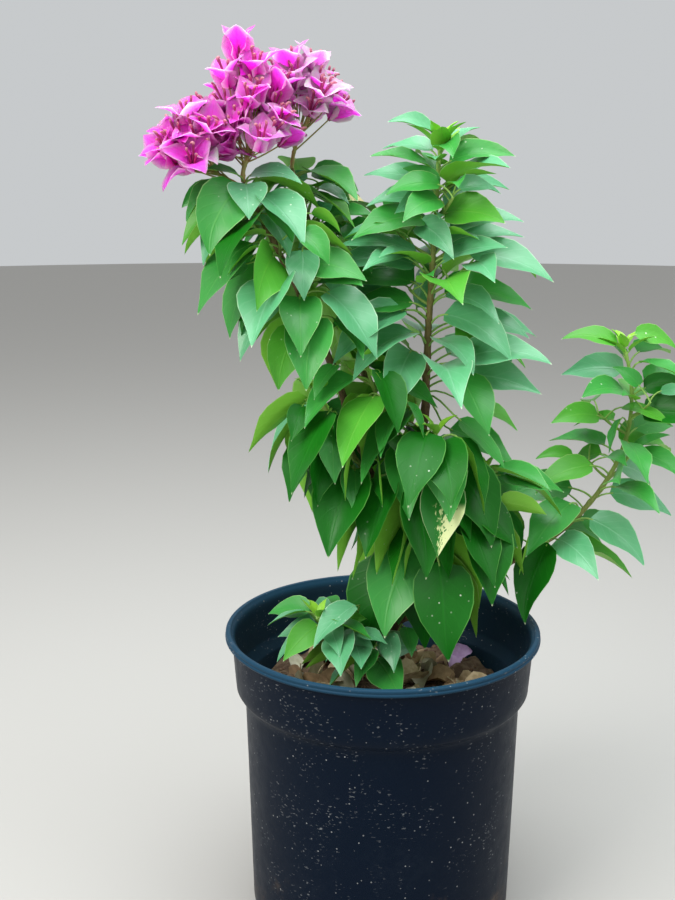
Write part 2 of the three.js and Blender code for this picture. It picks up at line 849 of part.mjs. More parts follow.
function potProfile() {
  const { height, rimRadius, beadHeight, beadWidth, wall } = POT;
  const { collarTop, collarFoot, collarDepth, chamfer } = POT;
  const { bodyTop, bodyFoot, footCorner, ledgeDrop, ledge, base } = POT;
  const outline = [
    [0, 0],
    [bodyFoot - footCorner * 0.6, 0],
    [bodyFoot - footCorner * 0.15, footCorner * 0.35],
    [bodyFoot, footCorner],
    [bodyTop, height - collarDepth - chamfer],
    [collarFoot, height - collarDepth],
    [collarTop, height - beadHeight],
    [rimRadius - 1, height - beadHeight],
    [rimRadius, height - beadHeight / 2],
    [rimRadius - 1.4, height],
    [rimRadius - beadWidth, height],
    [collarTop - wall, height - 4],
    [collarFoot - wall, height - ledgeDrop],
    [bodyTop - wall, height - ledgeDrop - ledge],
    [bodyFoot - wall, footCorner],
    [bodyFoot - wall - 5, base],
    [0, base],
  ];
  return outline.map(([x, y]) => new THREE.Vector2(x, y));
}

function makePot() {
  const shell = solidOf(new THREE.LatheGeometry(potProfile(), POT.sides).rotateX(Math.PI / 2));
  return NOTCH.turns.reduce((pot, degrees) => {
    const cutter = new THREE.BoxGeometry(NOTCH.depth, NOTCH.width, NOTCH.height);
    cutter.translate(POT.bodyFoot, 0, NOTCH.height / 2 + NOTCH.drop);
    cutter.rotateZ(degrees * DEGREE);
    return pot.subtract(solidOf(cutter));
  }, shell);
}

function innerRadius(z) {
  const bodyHeight = POT.height - POT.collarDepth - POT.chamfer - POT.footCorner;
  return mix(POT.bodyFoot, POT.bodyTop, (z - POT.footCorner) / bodyHeight) - POT.wall;
}

// How far the soil's top stands above or below its level.
function lumpAt(x, y) {
  const far = Math.hypot(x - TRUNK.path[0][0], y - TRUNK.path[0][1]);
  const wave = Math.sin(x * 0.09 + 1) * Math.cos(y * 0.11) + 0.6 * Math.sin(x * 0.21 - y * 0.17);
  const height = THREE.MathUtils.clamp((far - SOIL.pad) / 20, 0, 1) * SOIL.lump * wave;
  return Math.max(height, -SOIL.edgeDrop);
}

// The root ball fills the pot's body.
function makeSoil() {
  const foot = POT.base + GAP;
  const edge = innerRadius(SOIL.level) - GAP - 0.4;
  const profile = [
    [0, foot],
    [POT.bodyFoot - POT.wall - 6, foot],
    [innerRadius(POT.footCorner) - GAP - 0.6, POT.footCorner + 1],
    [edge, SOIL.level - SOIL.edgeDrop],
    ...SOIL.rings.map((share) => [edge * share, SOIL.level]),
    [0, SOIL.level],
  ].map(([x, y]) => new THREE.Vector2(x, y));
  const geometry = new THREE.LatheGeometry(profile, POT.sides).rotateX(Math.PI / 2);
  const position = geometry.getAttribute('position');
  for (let i = 0; i < position.count; i += 1) {
    const height = position.getZ(i);
    if (height > SOIL.level - 1) position.setZ(i, height + lumpAt(position.getX(i), position.getY(i)));
  }
  return solidOf(geometry);
}

// A dry leaf that lies on the soil with one end pressed into it.
function litterLeaf(number) {
  const vary = (use) => draw(LITTER.seed, number, use);
  const spin = number * GOLDEN_ANGLE + 0.6;
  const radius = mix(LITTER.from, LITTER.to, Math.sqrt((number + 0.5) / LITTER.count));
  const length = LITTER.length * (0.7 + 0.5 * vary(0));
  return {
    base: new THREE.Vector3(Math.cos(spin) * radius, Math.sin(spin) * radius, SOIL.level - LITTER.sunk),
    azimuth: spin + Math.PI * (0.5 + vary(1)),
    pitch: (24 + 14 * vary(2)) * DEGREE,
    curl: (70 + 30 * vary(3)) * DEGREE,
    roll: swing(LITTER.seed, number, 4, 0.4),
    length,
    width: length * LITTER.widthShare,
    thickness: LITTER.thickness,
  };
}

function litterOn(soil) {
  const pieces = [soil];
  for (let i = 0; i < LITTER.count; i += 1) {
    const leaf = litterLeaf(i);
    const tip = midrib(leaf, 1).point;
    const solid = solidOf(leafGeometry(leaf, false));
    const nearWall = Math.hypot(tip.x, tip.y) > innerRadius(SOIL.level) - 14;
    if (!nearWall && !touches(solid, () => true)) pieces.push(solid);
  }
  return join(pieces);
}

const wasm = await Module();
wasm.setup();

// What the trunk's flat cut takes away: all that would stand in the soil.
function belowGround() {
  const block = new THREE.BoxGeometry(60, 60, 40);
  return solidOf(block.translate(TRUNK.path[0][0], TRUNK.path[0][1], SOIL.level + GAP - 20));
}

const limbRoom = {};
const stems = {};
const solids = {};

function limb(name, path, radiusAt, roomRadiusAt, bearer) {
  const [sides, steps] = [LIMB.sides, LIMB.steps];
  limbRoom[name] = roomOf(path, roomRadiusAt, sides, steps);
  const whole = solidOf(limbGeometry(path, radiusAt, sides, steps));
  solids[name] = largest(whole.subtract(bearer ? limbRoom[bearer] : belowGround()));
  place(name, 'limb', solids[name]);
}

solids.pot = place('pot', 'limb', makePot());
limb('trunk', TRUNK.path, trunkRadius(), trunkRadius(GAP));
Object.entries(BOUGHS).forEach(([name, bough]) => {
  limb(name, bough.path, taper(bough.radius), taper(bough.radius, GAP), 'trunk');
});
solids.soil = place('soil', 'limb', litterOn(makeSoil()));

const masses = { ...SHOOTS, ...CLUSTERS };
Object.entries(masses).forEach(([name, mass]) => {
  const { stemSides, stemSteps } = LIMB;
  limbRoom[name] = roomOf(mass.path, taper(mass.radius, GAP), stemSides, stemSteps);
  stems[name] = place(name, 'stem', stemOf(mass));
});
Object.entries(CLUSTERS).forEach(([name, cluster]) => {
  solids[name] = growCluster(name, cluster);
});
const leading = {};
Object.entries(LEADING).forEach(([name, leaves]) => {
  leading[name] = growLeading(name, leaves);
});
Object.entries(SHOOTS).forEach(([name, shoot]) => {
  solids[name] = growShoot(name, shoot);
});

function materialFor(name) {
  const finish = name in COLOURS ? name : name in SHOOTS ? 'leaf' : name in CLUSTERS ? 'bract' : 'bark';
  return new THREE.MeshStandardMaterial({ ...COLOURS[finish], metalness: 0 });
}

function meshOf(name, solid) {
  const { vertProperties, triVerts } = solid.getMesh();
  const geometry = new THREE.BufferGeometry();
  geometry.setAttribute('position', new THREE.BufferAttribute(vertProperties, 3));
  geometry.setIndex(new THREE.BufferAttribute(triVerts, 1));
  geometry.computeVertexNormals();
  const mesh = new THREE.Mesh(geometry, materialFor(name));
  mesh.name = name;
  return mesh;
}

const plant = new THREE.Group();
Object.entries(solids).forEach(([name, solid]) => plant.add(meshOf(name, solid)));

export default plant;
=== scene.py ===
# %% [markdown]
# # A bougainvillea in its nursery pot
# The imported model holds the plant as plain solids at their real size: a pot, its soil, a trunk, three
# boughs, ten leafy shoots and three flower clusters. This lesson grows the same plant again in finer
# detail round those solids. It could be modelled by hand, but a plant is a rule repeated many times, so
# the rule is written down once and every leaf follows from it.

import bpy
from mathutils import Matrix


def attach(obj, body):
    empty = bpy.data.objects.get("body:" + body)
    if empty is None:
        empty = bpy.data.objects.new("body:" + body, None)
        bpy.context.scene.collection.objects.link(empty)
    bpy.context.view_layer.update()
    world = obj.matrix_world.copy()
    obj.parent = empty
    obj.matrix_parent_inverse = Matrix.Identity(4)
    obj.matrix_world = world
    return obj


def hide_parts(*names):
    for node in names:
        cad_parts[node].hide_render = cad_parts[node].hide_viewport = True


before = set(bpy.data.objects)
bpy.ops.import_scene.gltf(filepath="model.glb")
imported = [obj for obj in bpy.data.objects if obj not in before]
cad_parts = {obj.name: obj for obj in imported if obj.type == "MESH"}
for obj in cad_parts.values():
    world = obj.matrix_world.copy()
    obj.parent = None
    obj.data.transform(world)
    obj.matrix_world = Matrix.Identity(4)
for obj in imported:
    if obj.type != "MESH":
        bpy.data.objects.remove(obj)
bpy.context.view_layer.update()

# %% Libraries and units
import math

import bmesh
import bpy
import numpy as np
from mathutils import Matrix, Vector, kdtree, noise
from mathutils.bvhtree import BVHTree

MM = 0.001
GOLDEN_ANGLE = math.radians(137.508)
UP = np.array([0.0, 0.0, 1.0])


def in_scene(name, data):
    """A new object with this camera, lamp or mesh."""
    thing = bpy.data.objects.new(name, data)
    bpy.context.scene.collection.objects.link(thing)
    return thing


# %% [markdown]
# ## Camera
# The plant was seen from a little above the pot's rim, about a metre away, with the camera tipped down.
# The lens is given for a frame that is taller than it is wide, so the 36 mm sensor is its height.

# %% Camera
CAMERA = {"place": (-0.043, -1.064, 0.709), "dip": 13.07, "lens": 47.2, "sensor": 36.0}

camera_data = bpy.data.cameras.new("photo_view")
camera_data.lens = CAMERA["lens"]
camera_data.sensor_width = CAMERA["sensor"]
camera = in_scene("photo_view", camera_data)
camera.location = CAMERA["place"]
camera.rotation_euler = (math.radians(90 - CAMERA["dip"]), 0, 0)
bpy.context.scene.camera = camera
print("camera height in metres:", CAMERA["place"][2])

# %% [markdown]
# ## Light
# Shaded daylight comes from the whole sky, so the lamps are wide. One large cool lamp overhead gives
# the waxy leaves a sheen, which the bluish leaf tone strengthens with a sheen painted into its colour, a
# warmer lamp from the left shapes them, and the pale surroundings fill the shadows. The standard view
# transform keeps the greens and the pinks as strong as they are.

# %% Lamps and surroundings
SURROUNDINGS = {"Color": (0.92, 0.95, 0.97, 1.0), "Strength": 0.62}


def lamp(name, place, aim, size, watts, colour):
    data = bpy.data.lights.new(name, "AREA")
    data.energy = watts
    data.size = size
    data.color = colour
    thing = in_scene(name, data)
    thing.location = place
    thing.rotation_euler = (Vector(aim) - Vector(place)).to_track_quat("-Z", "Y").to_euler()


lamp("sky_lamp", (0.1, -0.2, 2.3), (0, 0, 0.5), 2.0, 62, (0.9, 0.96, 1.0))
lamp("left_lamp", (-1.5, -1.3, 1.6), (0, 0, 0.6), 1.2, 36, (1.0, 0.98, 0.94))
lamp("right_lamp", (1.7, -0.9, 1.1), (0, 0, 0.45), 1.2, 6, (0.95, 0.98, 1.0))
world = bpy.data.worlds.new("pale_surroundings")
world.use_nodes = True
for name, value in SURROUNDINGS.items():
    world.node_tree.nodes["Background"].inputs[name].default_value = value
bpy.context.scene.world = world
bpy.context.scene.view_settings.view_transform = "Standard"

# %% [markdown]
# ## Helpers for finishes
# Colours are picked as sRGB hex values, as on a screen, while shaders work in linear light, so one
# function turns them. A table lists the kinds of node that the finishes use, with the inputs, the output
# and the settings that matter here, and one function adds any of them with its links.

# %% Kinds of node
LEAF_MAP = "leaf"
NODES = {
    "multiply": ("Math", (0, 1), 0, {"operation": "MULTIPLY"}),
    "multiply_add": ("Math", (0, 1, 2), 0, {"operation": "MULTIPLY_ADD"}),
    "subtract": ("Math", (0, 1), 0, {"operation": "SUBTRACT"}),
    "absolute": ("Math", (0,), 0, {"operation": "ABSOLUTE"}),
    "cosine": ("Math", (0,), 0, {"operation": "COSINE"}),
    "fade": ("MapRange", ("Value", "From Min", "From Max"), 0, {"interpolation_type": "SMOOTHSTEP"}),
    "blend": ("Mix", (0, 6, 7), 2, {"data_type": "RGBA"}),
    "ramp": ("ValToRGB", ("Fac",), "Color", {}),
    "noise": ("TexNoise", ("Vector", "Scale", "Detail", "Roughness"), "Fac", {}),
    "cells": ("TexVoronoi", ("Vector", "Scale"), "Distance", {}),
    "net": ("TexVoronoi", ("Vector", "Scale"), "Distance", {"feature": "DISTANCE_TO_EDGE"}),
    "stretch": ("Mapping", ("Vector", "Scale"), "Vector", {}),
    "part": ("SeparateXYZ", ("Vector",), "X", {}),
    "object_place": ("TexCoord", (), "Object", {}),
    "leaf_place": ("UVMap", (), "UV", {"uv_map": LEAF_MAP}),
    "age": ("Attribute", (), "Fac", {"attribute_name": "age"}),
    "bump": ("Bump", ("Strength", "Distance", "Height"), "Normal", {}),
}

# %% Colour and node helpers
def linear(hex_colour):
    values = [int(hex_colour[i:i + 2], 16) / 255 for i in (1, 3, 5)]
    return [v / 12.92 if v <= 0.04045 else ((v + 0.055) / 1.055) ** 2.4 for v in values] + [1.0]


class Finish:
    """A new material, given its shader's own values and then painted with nodes."""

    def __init__(self, name, values):
        self.material = bpy.data.materials.new(name)
        self.material.use_nodes = True
        self.tree = self.material.node_tree
        self.surface = self.tree.nodes["Principled BSDF"].inputs
        for socket, value in values.items():
            self.surface[socket].default_value = value

    def add(self, kind, *values, out=None):
        """Adds a node of the table, with a value, a hex colour or a socket to link for each input."""
        blender_kind, inputs, output, settings = NODES[kind]
        node = self.tree.nodes.new("ShaderNode" + blender_kind)
        for name, value in settings.items():
            setattr(node, name, value)
        for place, value in zip(inputs, values):
            if isinstance(value, bpy.types.NodeSocket):
                self.tree.links.new(value, node.inputs[place])
            else:
                node.inputs[place].default_value = linear(value) if isinstance(value, str) else value
        return node.outputs[out or output]

    def feed(self, sockets):
        """Links sockets to the shader's own, by name."""
        for name, socket in sockets.items():
            self.tree.links.new(socket, self.surface[name])

    def coats(self, colour, *layers):
        """Lays coats over a first colour, each with a mask, how strongly it covers, and its colour."""
        for mask, strength, coat in layers:
            colour = self.add("blend", self.add("multiply", mask, strength), colour, coat)
        return colour


# %% [markdown]
# ## Waxy leaves
# A bougainvillea leaf is a thin blade with a smooth cuticle of wax: a broad soft highlight over a green
# that differs from leaf to leaf. It has a fine pale margin, a pale midrib, faint side veins and a
# whitish point. The pattern follows each leaf's own map, where x runs from margin to margin and y from
# stalk to tip, so that one pattern fits every leaf. Dried splashes leave a few white specks here and
# there on the plant. Whole tones are dealt out leaf by leaf, and some paint light into the colour: the
# bluish tone has the sky's sheen painted in, and the deep tone has painted shade. The yellowish tone is
# partly a lighter green and partly painted light shining through the blade, and so is the bright underside.

# %% Leaf finishes
VEIN_SLANT = 0.3


def leaf_places(add):
    """The place on the map, the distance from the midrib, 0 to 1, and the way from stalk to tip."""
    place = add("leaf_place")
    signed = add("multiply_add", add("part", place), 2.0, -1.0)
    return place, add("absolute", signed), add("part", place, out="Y")


def side_veins(add, across, along, count):
    """Ridges that leave the midrib at a slant, 1 on a vein and 0 between two."""
    phase = add("multiply_add", across, -VEIN_SLANT, along)
    wave = add("cosine", add("multiply", phase, math.tau * count))
    return add("fade", wave, 0.8, 1.0)


def sparse_dots(add, place, spacing, radius, least):
    """Round specks in some cells of a pattern with this spacing in millimetres, 1 on a speck."""
    cells = add("cells", place, 1 / (spacing * MM))
    chosen = add("fade", cells.node.outputs["Color"], least, least + 0.3)
    return add("multiply", add("fade", cells, radius, radius - 0.08), chosen)


def leaf_finish(name, green, vein, margin, roughness, ior):
    made = Finish(name, {"Roughness": roughness, "IOR": ior})
    add = made.add
    place, across, along = leaf_places(add)
    veins = side_veins(add, across, along, 7)
    around = add("object_place")
    splashed = add("fade", add("noise", around, 1 / (60 * MM)), 0.56, 0.66)
    colour = made.coats(
        green,
        (add("noise", place, 3.5, 3.0), 0.28, vein),
        (veins, 0.1, vein),
        (add("fade", across, 0.06, 0.015), 0.32, vein),
        (add("fade", across, 0.95, 0.985), 0.55, margin),
        (add("fade", along, 0.965, 0.99), 0.55, "#e6e8c8"),
        (add("multiply", sparse_dots(add, around, 5, 0.2, 0.5), splashed), 0.7, "#dfe8d2"),
    )
    groove = add("multiply_add", veins, -0.3, add("fade", across, 0.0, 0.08))
    made.feed({"Base Color": colour, "Normal": add("bump", 0.35, 0.5 * MM, groove)})
    return made.material


# Lit and shaded copies of the leaf green: the bluish tone paints the sky's sheen into the top leaves, the
# deep tone paints shade into the hanging ones, and the yellowish tone is partly a lighter green and partly
# painted light shining through.
LEAF_TONES = {
    "bluish": ("#4ea26a", "#92cca4", "#cae8c0", 0.34, 1.56),
    "green": ("#2e8c36", "#58a846", "#a2d282", 0.37, 1.44),
    "deep": ("#0d600c", "#1e781a", "#6cae50", 0.4, 1.34),
    "yellowish": ("#489c2c", "#6cb43e", "#acd67a", 0.4, 1.4),
    "lime": ("#8ccc34", "#aedf56", "#d3ec9a", 0.42, 1.4),
}
leaf_tones = {tone: leaf_finish(f"waxy_leaf_{tone}", *looks) for tone, looks in LEAF_TONES.items()}
# The underside is paler green, as a real one is, and brighter still: a painted glow of light shining through
# the blade.
backlit_underside = leaf_finish("matt_leaf_lower_face_painted_backlight", "#7cc43a", "#94d056", "#bce088", 0.5, 1.38)
print("leaf finishes:", len(leaf_tones) + 1)

# %% [markdown]
# ## Bleached and dry leaves
# One hanging leaf has a cream patch where it lost its green, one at the back is dying off to yellow,
# and a few leaves under the flowers have dried at the edge. All are the same blade with part of it
# turned, so the same map says where.

# %% Patched leaf finishes
def patched_finish(name, green, patch, start, end, low=0.0):
    """A leaf whose colour gives way to the patch on one side, between two distances across it."""
    made = Finish(name, {"Roughness": 0.45, "IOR": 1.45})
    add = made.add
    place, across, along = leaf_places(add)
    drift = add("multiply_add", add("noise", place, 15.0, 8.0), 1.6, add("part", place))
    colour = made.coats(
        green,
        (add("multiply", add("fade", drift, start, end), add("fade", along, low, low + 0.12)), 1.0, patch),
        (add("fade", across, 0.06, 0.015), 0.4, "#7fb860"),
        (add("fade", across, 0.95, 0.985), 0.55, "#c9dca4"),
    )
    made.feed({"Base Color": colour})
    return made.material


leaf_tones["bleached"] = patched_finish("bleached_leaf", "#14701a", "#d2dc9c", 1.3, 1.42, 0.3)
leaf_tones["scorched"] = patched_finish("scorched_leaf", "#69b152", "#e0d09a", 1.22, 1.32)
leaf_tones["dying"] = patched_finish("dying_leaf", "#c08a2a", "#d8b83a", 1.1, 1.4)

# %% [markdown]
# ## Papery bracts
# What looks like a petal is a bract, a leaf turned to coloured paper: matt, deeper towards its base,
# pale along its edge and netted with fine veins. The net is a cell pattern on the bract's own map. A
# bract is thin enough to let light through, so some of the light scatters under its surface.

# %% Bract finishes
BRACT_SHADER = {
    "Roughness": 0.62,
    "IOR": 1.4,
    "Subsurface Weight": 0.8,
    "Subsurface Radius": (1.0, 0.25, 0.85),
    "Subsurface Scale": 4 * MM,
}


def bract_finish(name, base, middle, edge):
    made = Finish(name, BRACT_SHADER)
    add = made.add
    place, across, along = leaf_places(add)
    net = add("net", place, 7.0)
    veins = side_veins(add, across, along, 5)
    colour = made.coats(
        base,
        (add("fade", along, 0.0, 0.5), 1.0, middle),
        (add("fade", across, 0.35, 1.0), 0.8, edge),
        (add("fade", net, 0.05, 0.0), 0.22, base),
        (veins, 0.2, base),
        (add("fade", across, 0.06, 0.02), 0.5, base),
    )
    ridges = add("multiply_add", veins, 0.6, add("fade", net, 0.06, 0.0))
    made.feed({"Base Color": colour, "Normal": add("bump", 0.4, 0.4 * MM, ridges)})
    return made.material


BRACT_TONES = {
    "papery_bract_magenta": ("#fa24ba", "#fe44da", "#fe84ea"),
    "papery_bract_pink": ("#fc40c8", "#fe68e4", "#fea2ee"),
    "papery_bract_pale": ("#f678d6", "#fea4ea", "#fed0f6"),
}
bract_tones = [bract_finish(name, *looks) for name, looks in BRACT_TONES.items()]

# %% [markdown]
# ## Bark, stems and stalks
# The trunk is dull brown wood with fine lengthwise cracks. Higher up, each stem passes through
# red-brown and olive to soft green. Every stem mesh carries an age at each point, 0 for wood and 1 for
# new growth, and one finish turns that into colour. Cracks are drawn a little wider than life, 1.6 mm
# apart, so that they show at this distance.

# %% Stem finishes
BARK_TONES = {0.0: "#4a362a", 0.2: "#70523c", 0.5: "#7a6e3e", 0.72: "#7f9145", 1.0: "#8fb957"}
CRACK_SPACING = 1.6


def bark_finish():
    made = Finish("young_bark", {"Roughness": 0.7, "IOR": 1.45})
    add = made.add
    age = add("age")
    tones = add("ramp", age)
    stops = tones.node.color_ramp.elements
    stops.remove(stops[1])
    for position, colour in BARK_TONES.items():
        stop = stops.new(position) if position else stops[0]
        stop.color = linear(colour)
    lengthwise = add("stretch", add("object_place"), (1.0, 1.0, 0.22))
    cracks = add("noise", lengthwise, 1 / (CRACK_SPACING * MM), 5.0, 0.65)
    wood = add("subtract", 1.0, age)
    colour = made.coats(
        tones,
        (add("multiply", add("fade", cracks, 0.52, 0.36), wood), 0.75, "#231812"),
        (add("multiply", add("fade", cracks, 0.56, 0.7), wood), 0.5, "#9a8468"),
    )
    made.feed({"Base Color": colour, "Normal": add("bump", 0.5, 0.5 * MM, cracks)})
    return made.material


def plain_finish(name, colour, roughness, fleck, spacing):
    """One colour with flecks of a second, about the given distance apart in millimetres."""
    made = Finish(name, {"Roughness": roughness, "IOR": 1.5})
    flecks = made.add("noise", made.add("object_place"), 1 / (spacing * MM), 4.0)
    colour = made.coats(colour, (made.add("fade", flecks, 0.42, 0.66), 0.7, fleck))
    made.feed({"Base Color": colour, "Normal": made.add("bump", 0.3, 0.5 * MM, flecks)})
    return made.material


young_bark = bark_finish()
dry_stalk = plain_finish("dry_leaf_stalk", "#a88f68", 0.8, "#7d6546", 5)
leaf_stalk = plain_finish("smooth_leaf_stalk", "#93bd5c", 0.5, "#7ba54a", 9)
flower_stalk = plain_finish("downy_flower_stalk", "#a3a45c", 0.7, "#a8804e", 6)
flower_tube = plain_finish("downy_flower_tube", "#a0386a", 0.65, "#842850", 5)
tube_end = plain_finish("closed_flower_end", "#c47e88", 0.6, "#9c4e60", 3)

# %% [markdown]
# ## Moulded pot
# A nursery pot is injection-moulded polypropylene, dyed black, which reads as a deep navy under the
# sky, so the navy in its base colour is a painted reflection of the sky. Handling leaves pale scuffs and
# specks, the ground leaves brown dust low down, and the rim's beads carry a painted bluish sheen of the
# sky over some rubbing. The bands are found from the height, and the scuffs are noise stretched round
# the pot and cut off hard. The inside of the wall has the same finish in lighter, bluer colours, a
# painted reflection of the sky that also lifts the shade the plant casts into the pot.

# %% Pot finish
POT_HEIGHT = 290


def pot_finish(name, base, dusty):
    made = Finish(name, {"Roughness": 0.5, "IOR": 1.18})
    add = made.add
    place = add("object_place")
    height = add("part", place, out="Z")

    def field(spacing, stretch=1.0):
        return add("noise", add("stretch", place, (1.0, 1.0, stretch)), 1 / (spacing * MM), 5.0)

    dust = add("multiply", add("fade", field(70), 0.42, 0.72), add("fade", field(6), 0.35, 0.7))
    splash = add("fade", add("multiply_add", field(26), 0.2, height), 0.16, 0.08)
    worn = add("fade", field(34, 0.7), 0.46, 0.62)
    scuffs = add("multiply", worn, add("fade", field(4.2, 2.2), 0.62, 0.68))
    colour = made.coats(
        base,
        (dust, 0.14, dusty),
        # The rim's beads take a painted bluish sheen of the sky over some real rubbing.
        (add("fade", height, (POT_HEIGHT - 9) * MM, (POT_HEIGHT - 4) * MM), 0.75, "#20455c"),
        (add("multiply", splash, add("fade", field(5), 0.3, 0.6)), 0.495, "#6a5a4a"),
        (scuffs, 0.44, "#8d9092"),
        (sparse_dots(add, place, 6, 0.15, 0.45), 0.6, "#aeb0b0"),
    )
    rough = add("multiply_add", scuffs, 0.2, add("multiply_add", field(12), 0.28, 0.28))
    relief = add("bump", 0.25, 0.4 * MM, field(3))
    made.feed({"Base Color": colour, "Roughness": rough, "Normal": relief})
    return made.material


# The navy of the outer base colour is a painted reflection of the sky on black plastic.
polypropylene = pot_finish("moulded_polypropylene", "#010f20", "#28303a")
# The inside takes lighter, bluer colours: a painted reflection of the sky, which also lifts the shade under
# the plant.
inner_wall_painted_reflection = pot_finish("polypropylene_inside_painted_reflection", "#1b3242", "#3a4c5a")
potting_soil = plain_finish("potting_soil", "#5a4534", 0.95, "#857058", 7)
soil_crumb = plain_finish("soil_crumb", "#634937", 0.95, "#877059", 4)
litter_tones = [
    plain_finish("dry_leaf_tan", "#cbb994", 0.85, "#a08a66", 6),
    plain_finish("dry_leaf_grey", "#bdb99f", 0.85, "#d6d2bd", 7),
    plain_finish("dry_leaf_brown", "#9c8262", 0.85, "#b99c78", 6),
    plain_finish("faded_bract", "#c7a2cf", 0.7, "#a982b5", 8),
]

# %% [markdown]
# ## Turning round shapes
# The pot and the root ball are round about one upright line, so each is one profile that is spun. The
# profile starts and ends on that line, and the doubled points there are merged so that the shell is
# closed. A slow waver of half a millimetre keeps the thin wall from looking machined.

# %% Spin a profile
def spun(profile, steps):
    mesh = bmesh.new()
    corners = [mesh.verts.new((radius * MM, 0, height * MM)) for radius, height in profile]
    edges = [mesh.edges.new(pair) for pair in zip(corners, corners[1:])]
    turn = {"cent": (0, 0, 0), "axis": (0, 0, 1), "angle": math.tau, "steps": steps, "use_merge": True}
    bmesh.ops.spin(mesh, geom=corners + edges, **turn)
    bmesh.ops.remove_doubles(mesh, verts=mesh.verts, dist=0.001 * MM)
    bmesh.ops.recalc_face_normals(mesh, faces=mesh.faces)
    return mesh


def as_data(name, mesh):
    data = bpy.data.meshes.new(name)
    mesh.to_mesh(data)
    mesh.free()
    return data


def keep(name, data, materials, slot, *nodes):
    """Makes a mesh a piece of the plant, which stands for the nodes named."""
    piece = in_scene(name, data)
    for material in materials:
        data.materials.append(material)
    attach(piece, "root")
    if nodes:
        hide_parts(*nodes)
    print(f"{name}: {sum(len(p.vertices) - 2 for p in data.polygons)} triangles")
    return piece


# %% [markdown]
# ## The pot
# The wall is 2.4 mm thick. Under the rim a collar stands out over the body with a sloping step, and the
# rim itself is two round beads with a groove between them. Four notches at the foot let water out. They
# are cut with one Boolean, which is then applied.

# %% Pot
RIM_RADIUS = 150
POT_STEPS = 144
# Inside faces above this height take the inside finish, whose lighter bluish colours are a painted
# reflection.
INNER_REFLECTION_FROM = 60


def mix(first, second, share):
    return first + (second - first) * share


def arc(radius, height, size, start, end, count=6):
    """Points on a small arc round (radius, height), between two angles in degrees."""
    angles = np.radians(np.linspace(start, end, count))
    return [(radius + size * math.cos(a), height + size * math.sin(a)) for a in angles]


def pot_profile():
    """The wall's outline from the middle of the foot, over the rim, to the middle of the floor."""
    foot = [(0, 0), (117.5, 0)] + arc(119.6, 4.2, 4.2, -90, -30, 4) + [(126.2, 9), (126.8, 12), (127.1, 26)]
    body = [(mix(127.1, 131.6, share), mix(26, 220, share)) for share in (0.33, 0.66, 1.0)]
    collar = [(131.9, 224), (133.2, 226.4), (138.6, 231.6), (140.0, 234), (140.6, 242)]
    collar += [(mix(140.6, 143.3, share), mix(242, 280, share)) for share in (0.5, 1.0)]
    rim = [(143.6, 282.4), (145.2, 283.0)]
    rim += arc(148.1, 284.7, 1.8, -80, 62) + arc(147.7, 288.2, 1.8, -40, 96)
    lip = arc(145.6, 289.0, 0.9, 90, 170, 4) + [(143.2, 287.6), (141.3, 285.0)]
    inside = [(140.6, 276), (138.2, 246), (137.6, 242.4), (130.2, 235.0), (129.3, 232)]
    floor = [(124.6, 16), (122.5, 8), (118, 3.6), (112, 3), (0, 3)]
    return foot + body + collar + rim + lip + inside + floor


pot_mesh = spun(pot_profile(), POT_STEPS)
for vertex in pot_mesh.verts:
    angle = math.atan2(vertex.co.y, vertex.co.x)
    waver = noise.noise(Vector((math.cos(angle), math.sin(angle), vertex.co.z * 6)) * 1.6)
    vertex.co.xy *= 1 + waver * 0.5 / RIM_RADIUS
pot_mesh.normal_update()
for face in pot_mesh.faces:
    centre = face.calc_center_median()
    faces_in = face.normal.x * centre.x + face.normal.y * centre.y < 0
    face.material_index = int(faces_in and centre.z > INNER_REFLECTION_FROM * MM)
pot_data = as_data("nursery_pot", pot_mesh)
pot = keep("nursery_pot", pot_data, [polypropylene, inner_wall_painted_reflection], "pot", "pot")

# %% Cut the drain notches
NOTCH = {"width": 40, "height": 38, "depth": 14, "radius": 126.8, "foot": 5}
NOTCH_PLACES = (45, 135, 225, 315)

cutters = bmesh.new()
for degrees in NOTCH_PLACES:
    made = bmesh.ops.create_cube(cutters, size=MM)["verts"]
    bmesh.ops.scale(cutters, verts=made, vec=(NOTCH["depth"], NOTCH["width"], NOTCH["height"]))
    place = (NOTCH["radius"] * MM, 0, (NOTCH["foot"] + NOTCH["height"] / 2) * MM)
    bmesh.ops.translate(cutters, verts=made, vec=place)
    turn = Matrix.Rotation(math.radians(degrees), 3, "Z")
    bmesh.ops.rotate(cutters, verts=made, cent=(0, 0, 0), matrix=turn)
cutter = in_scene("notch_cutters", as_data("notch_cutters", cutters))
cut = pot.modifiers.new("notches", "BOOLEAN")
cut.operation = "DIFFERENCE"
cut.object = cutter
bpy.context.view_layer.update()
cut_data = bpy.data.meshes.new_from_object(pot.evaluated_get(bpy.context.evaluated_depsgraph_get()))
pot.modifiers.remove(cut)
pot.data = cut_data
bpy.data.objects.remove(cutter)
pot.data.shade_smooth()
pot.data.set_sharp_from_angle(angle=math.radians(38))
print("pot faces after the notches:", len(pot.data.polygons))

# %% [markdown]
# ## Templates and joined copies
# A plant repeats a few small shapes hundreds of times. Each is modelled once, flat, with bmesh
# operators. Copies are then bent by array arithmetic and joined into one mesh, which is much faster
# than hundreds of objects. A template's points are read as shares: how far across, how far along.

# %% Templates
class Template:
    """A small mesh as arrays: its points, its faces with their corners, and which faces are below."""

    def __init__(self, mesh):
        mesh.verts.index_update()
        self.points = np.array([vertex.co[:] for vertex in mesh.verts])
        self.faces = [[vertex.index for vertex in face.verts] for face in mesh.faces]
        self.corners = np.array([corner for face in self.faces for corner in face])
        self.counts = np.array([len(face) for face in self.faces])
        self.below = np.array([face.calc_center_median().z < -0.01 for face in mesh.faces])
        mesh.free()


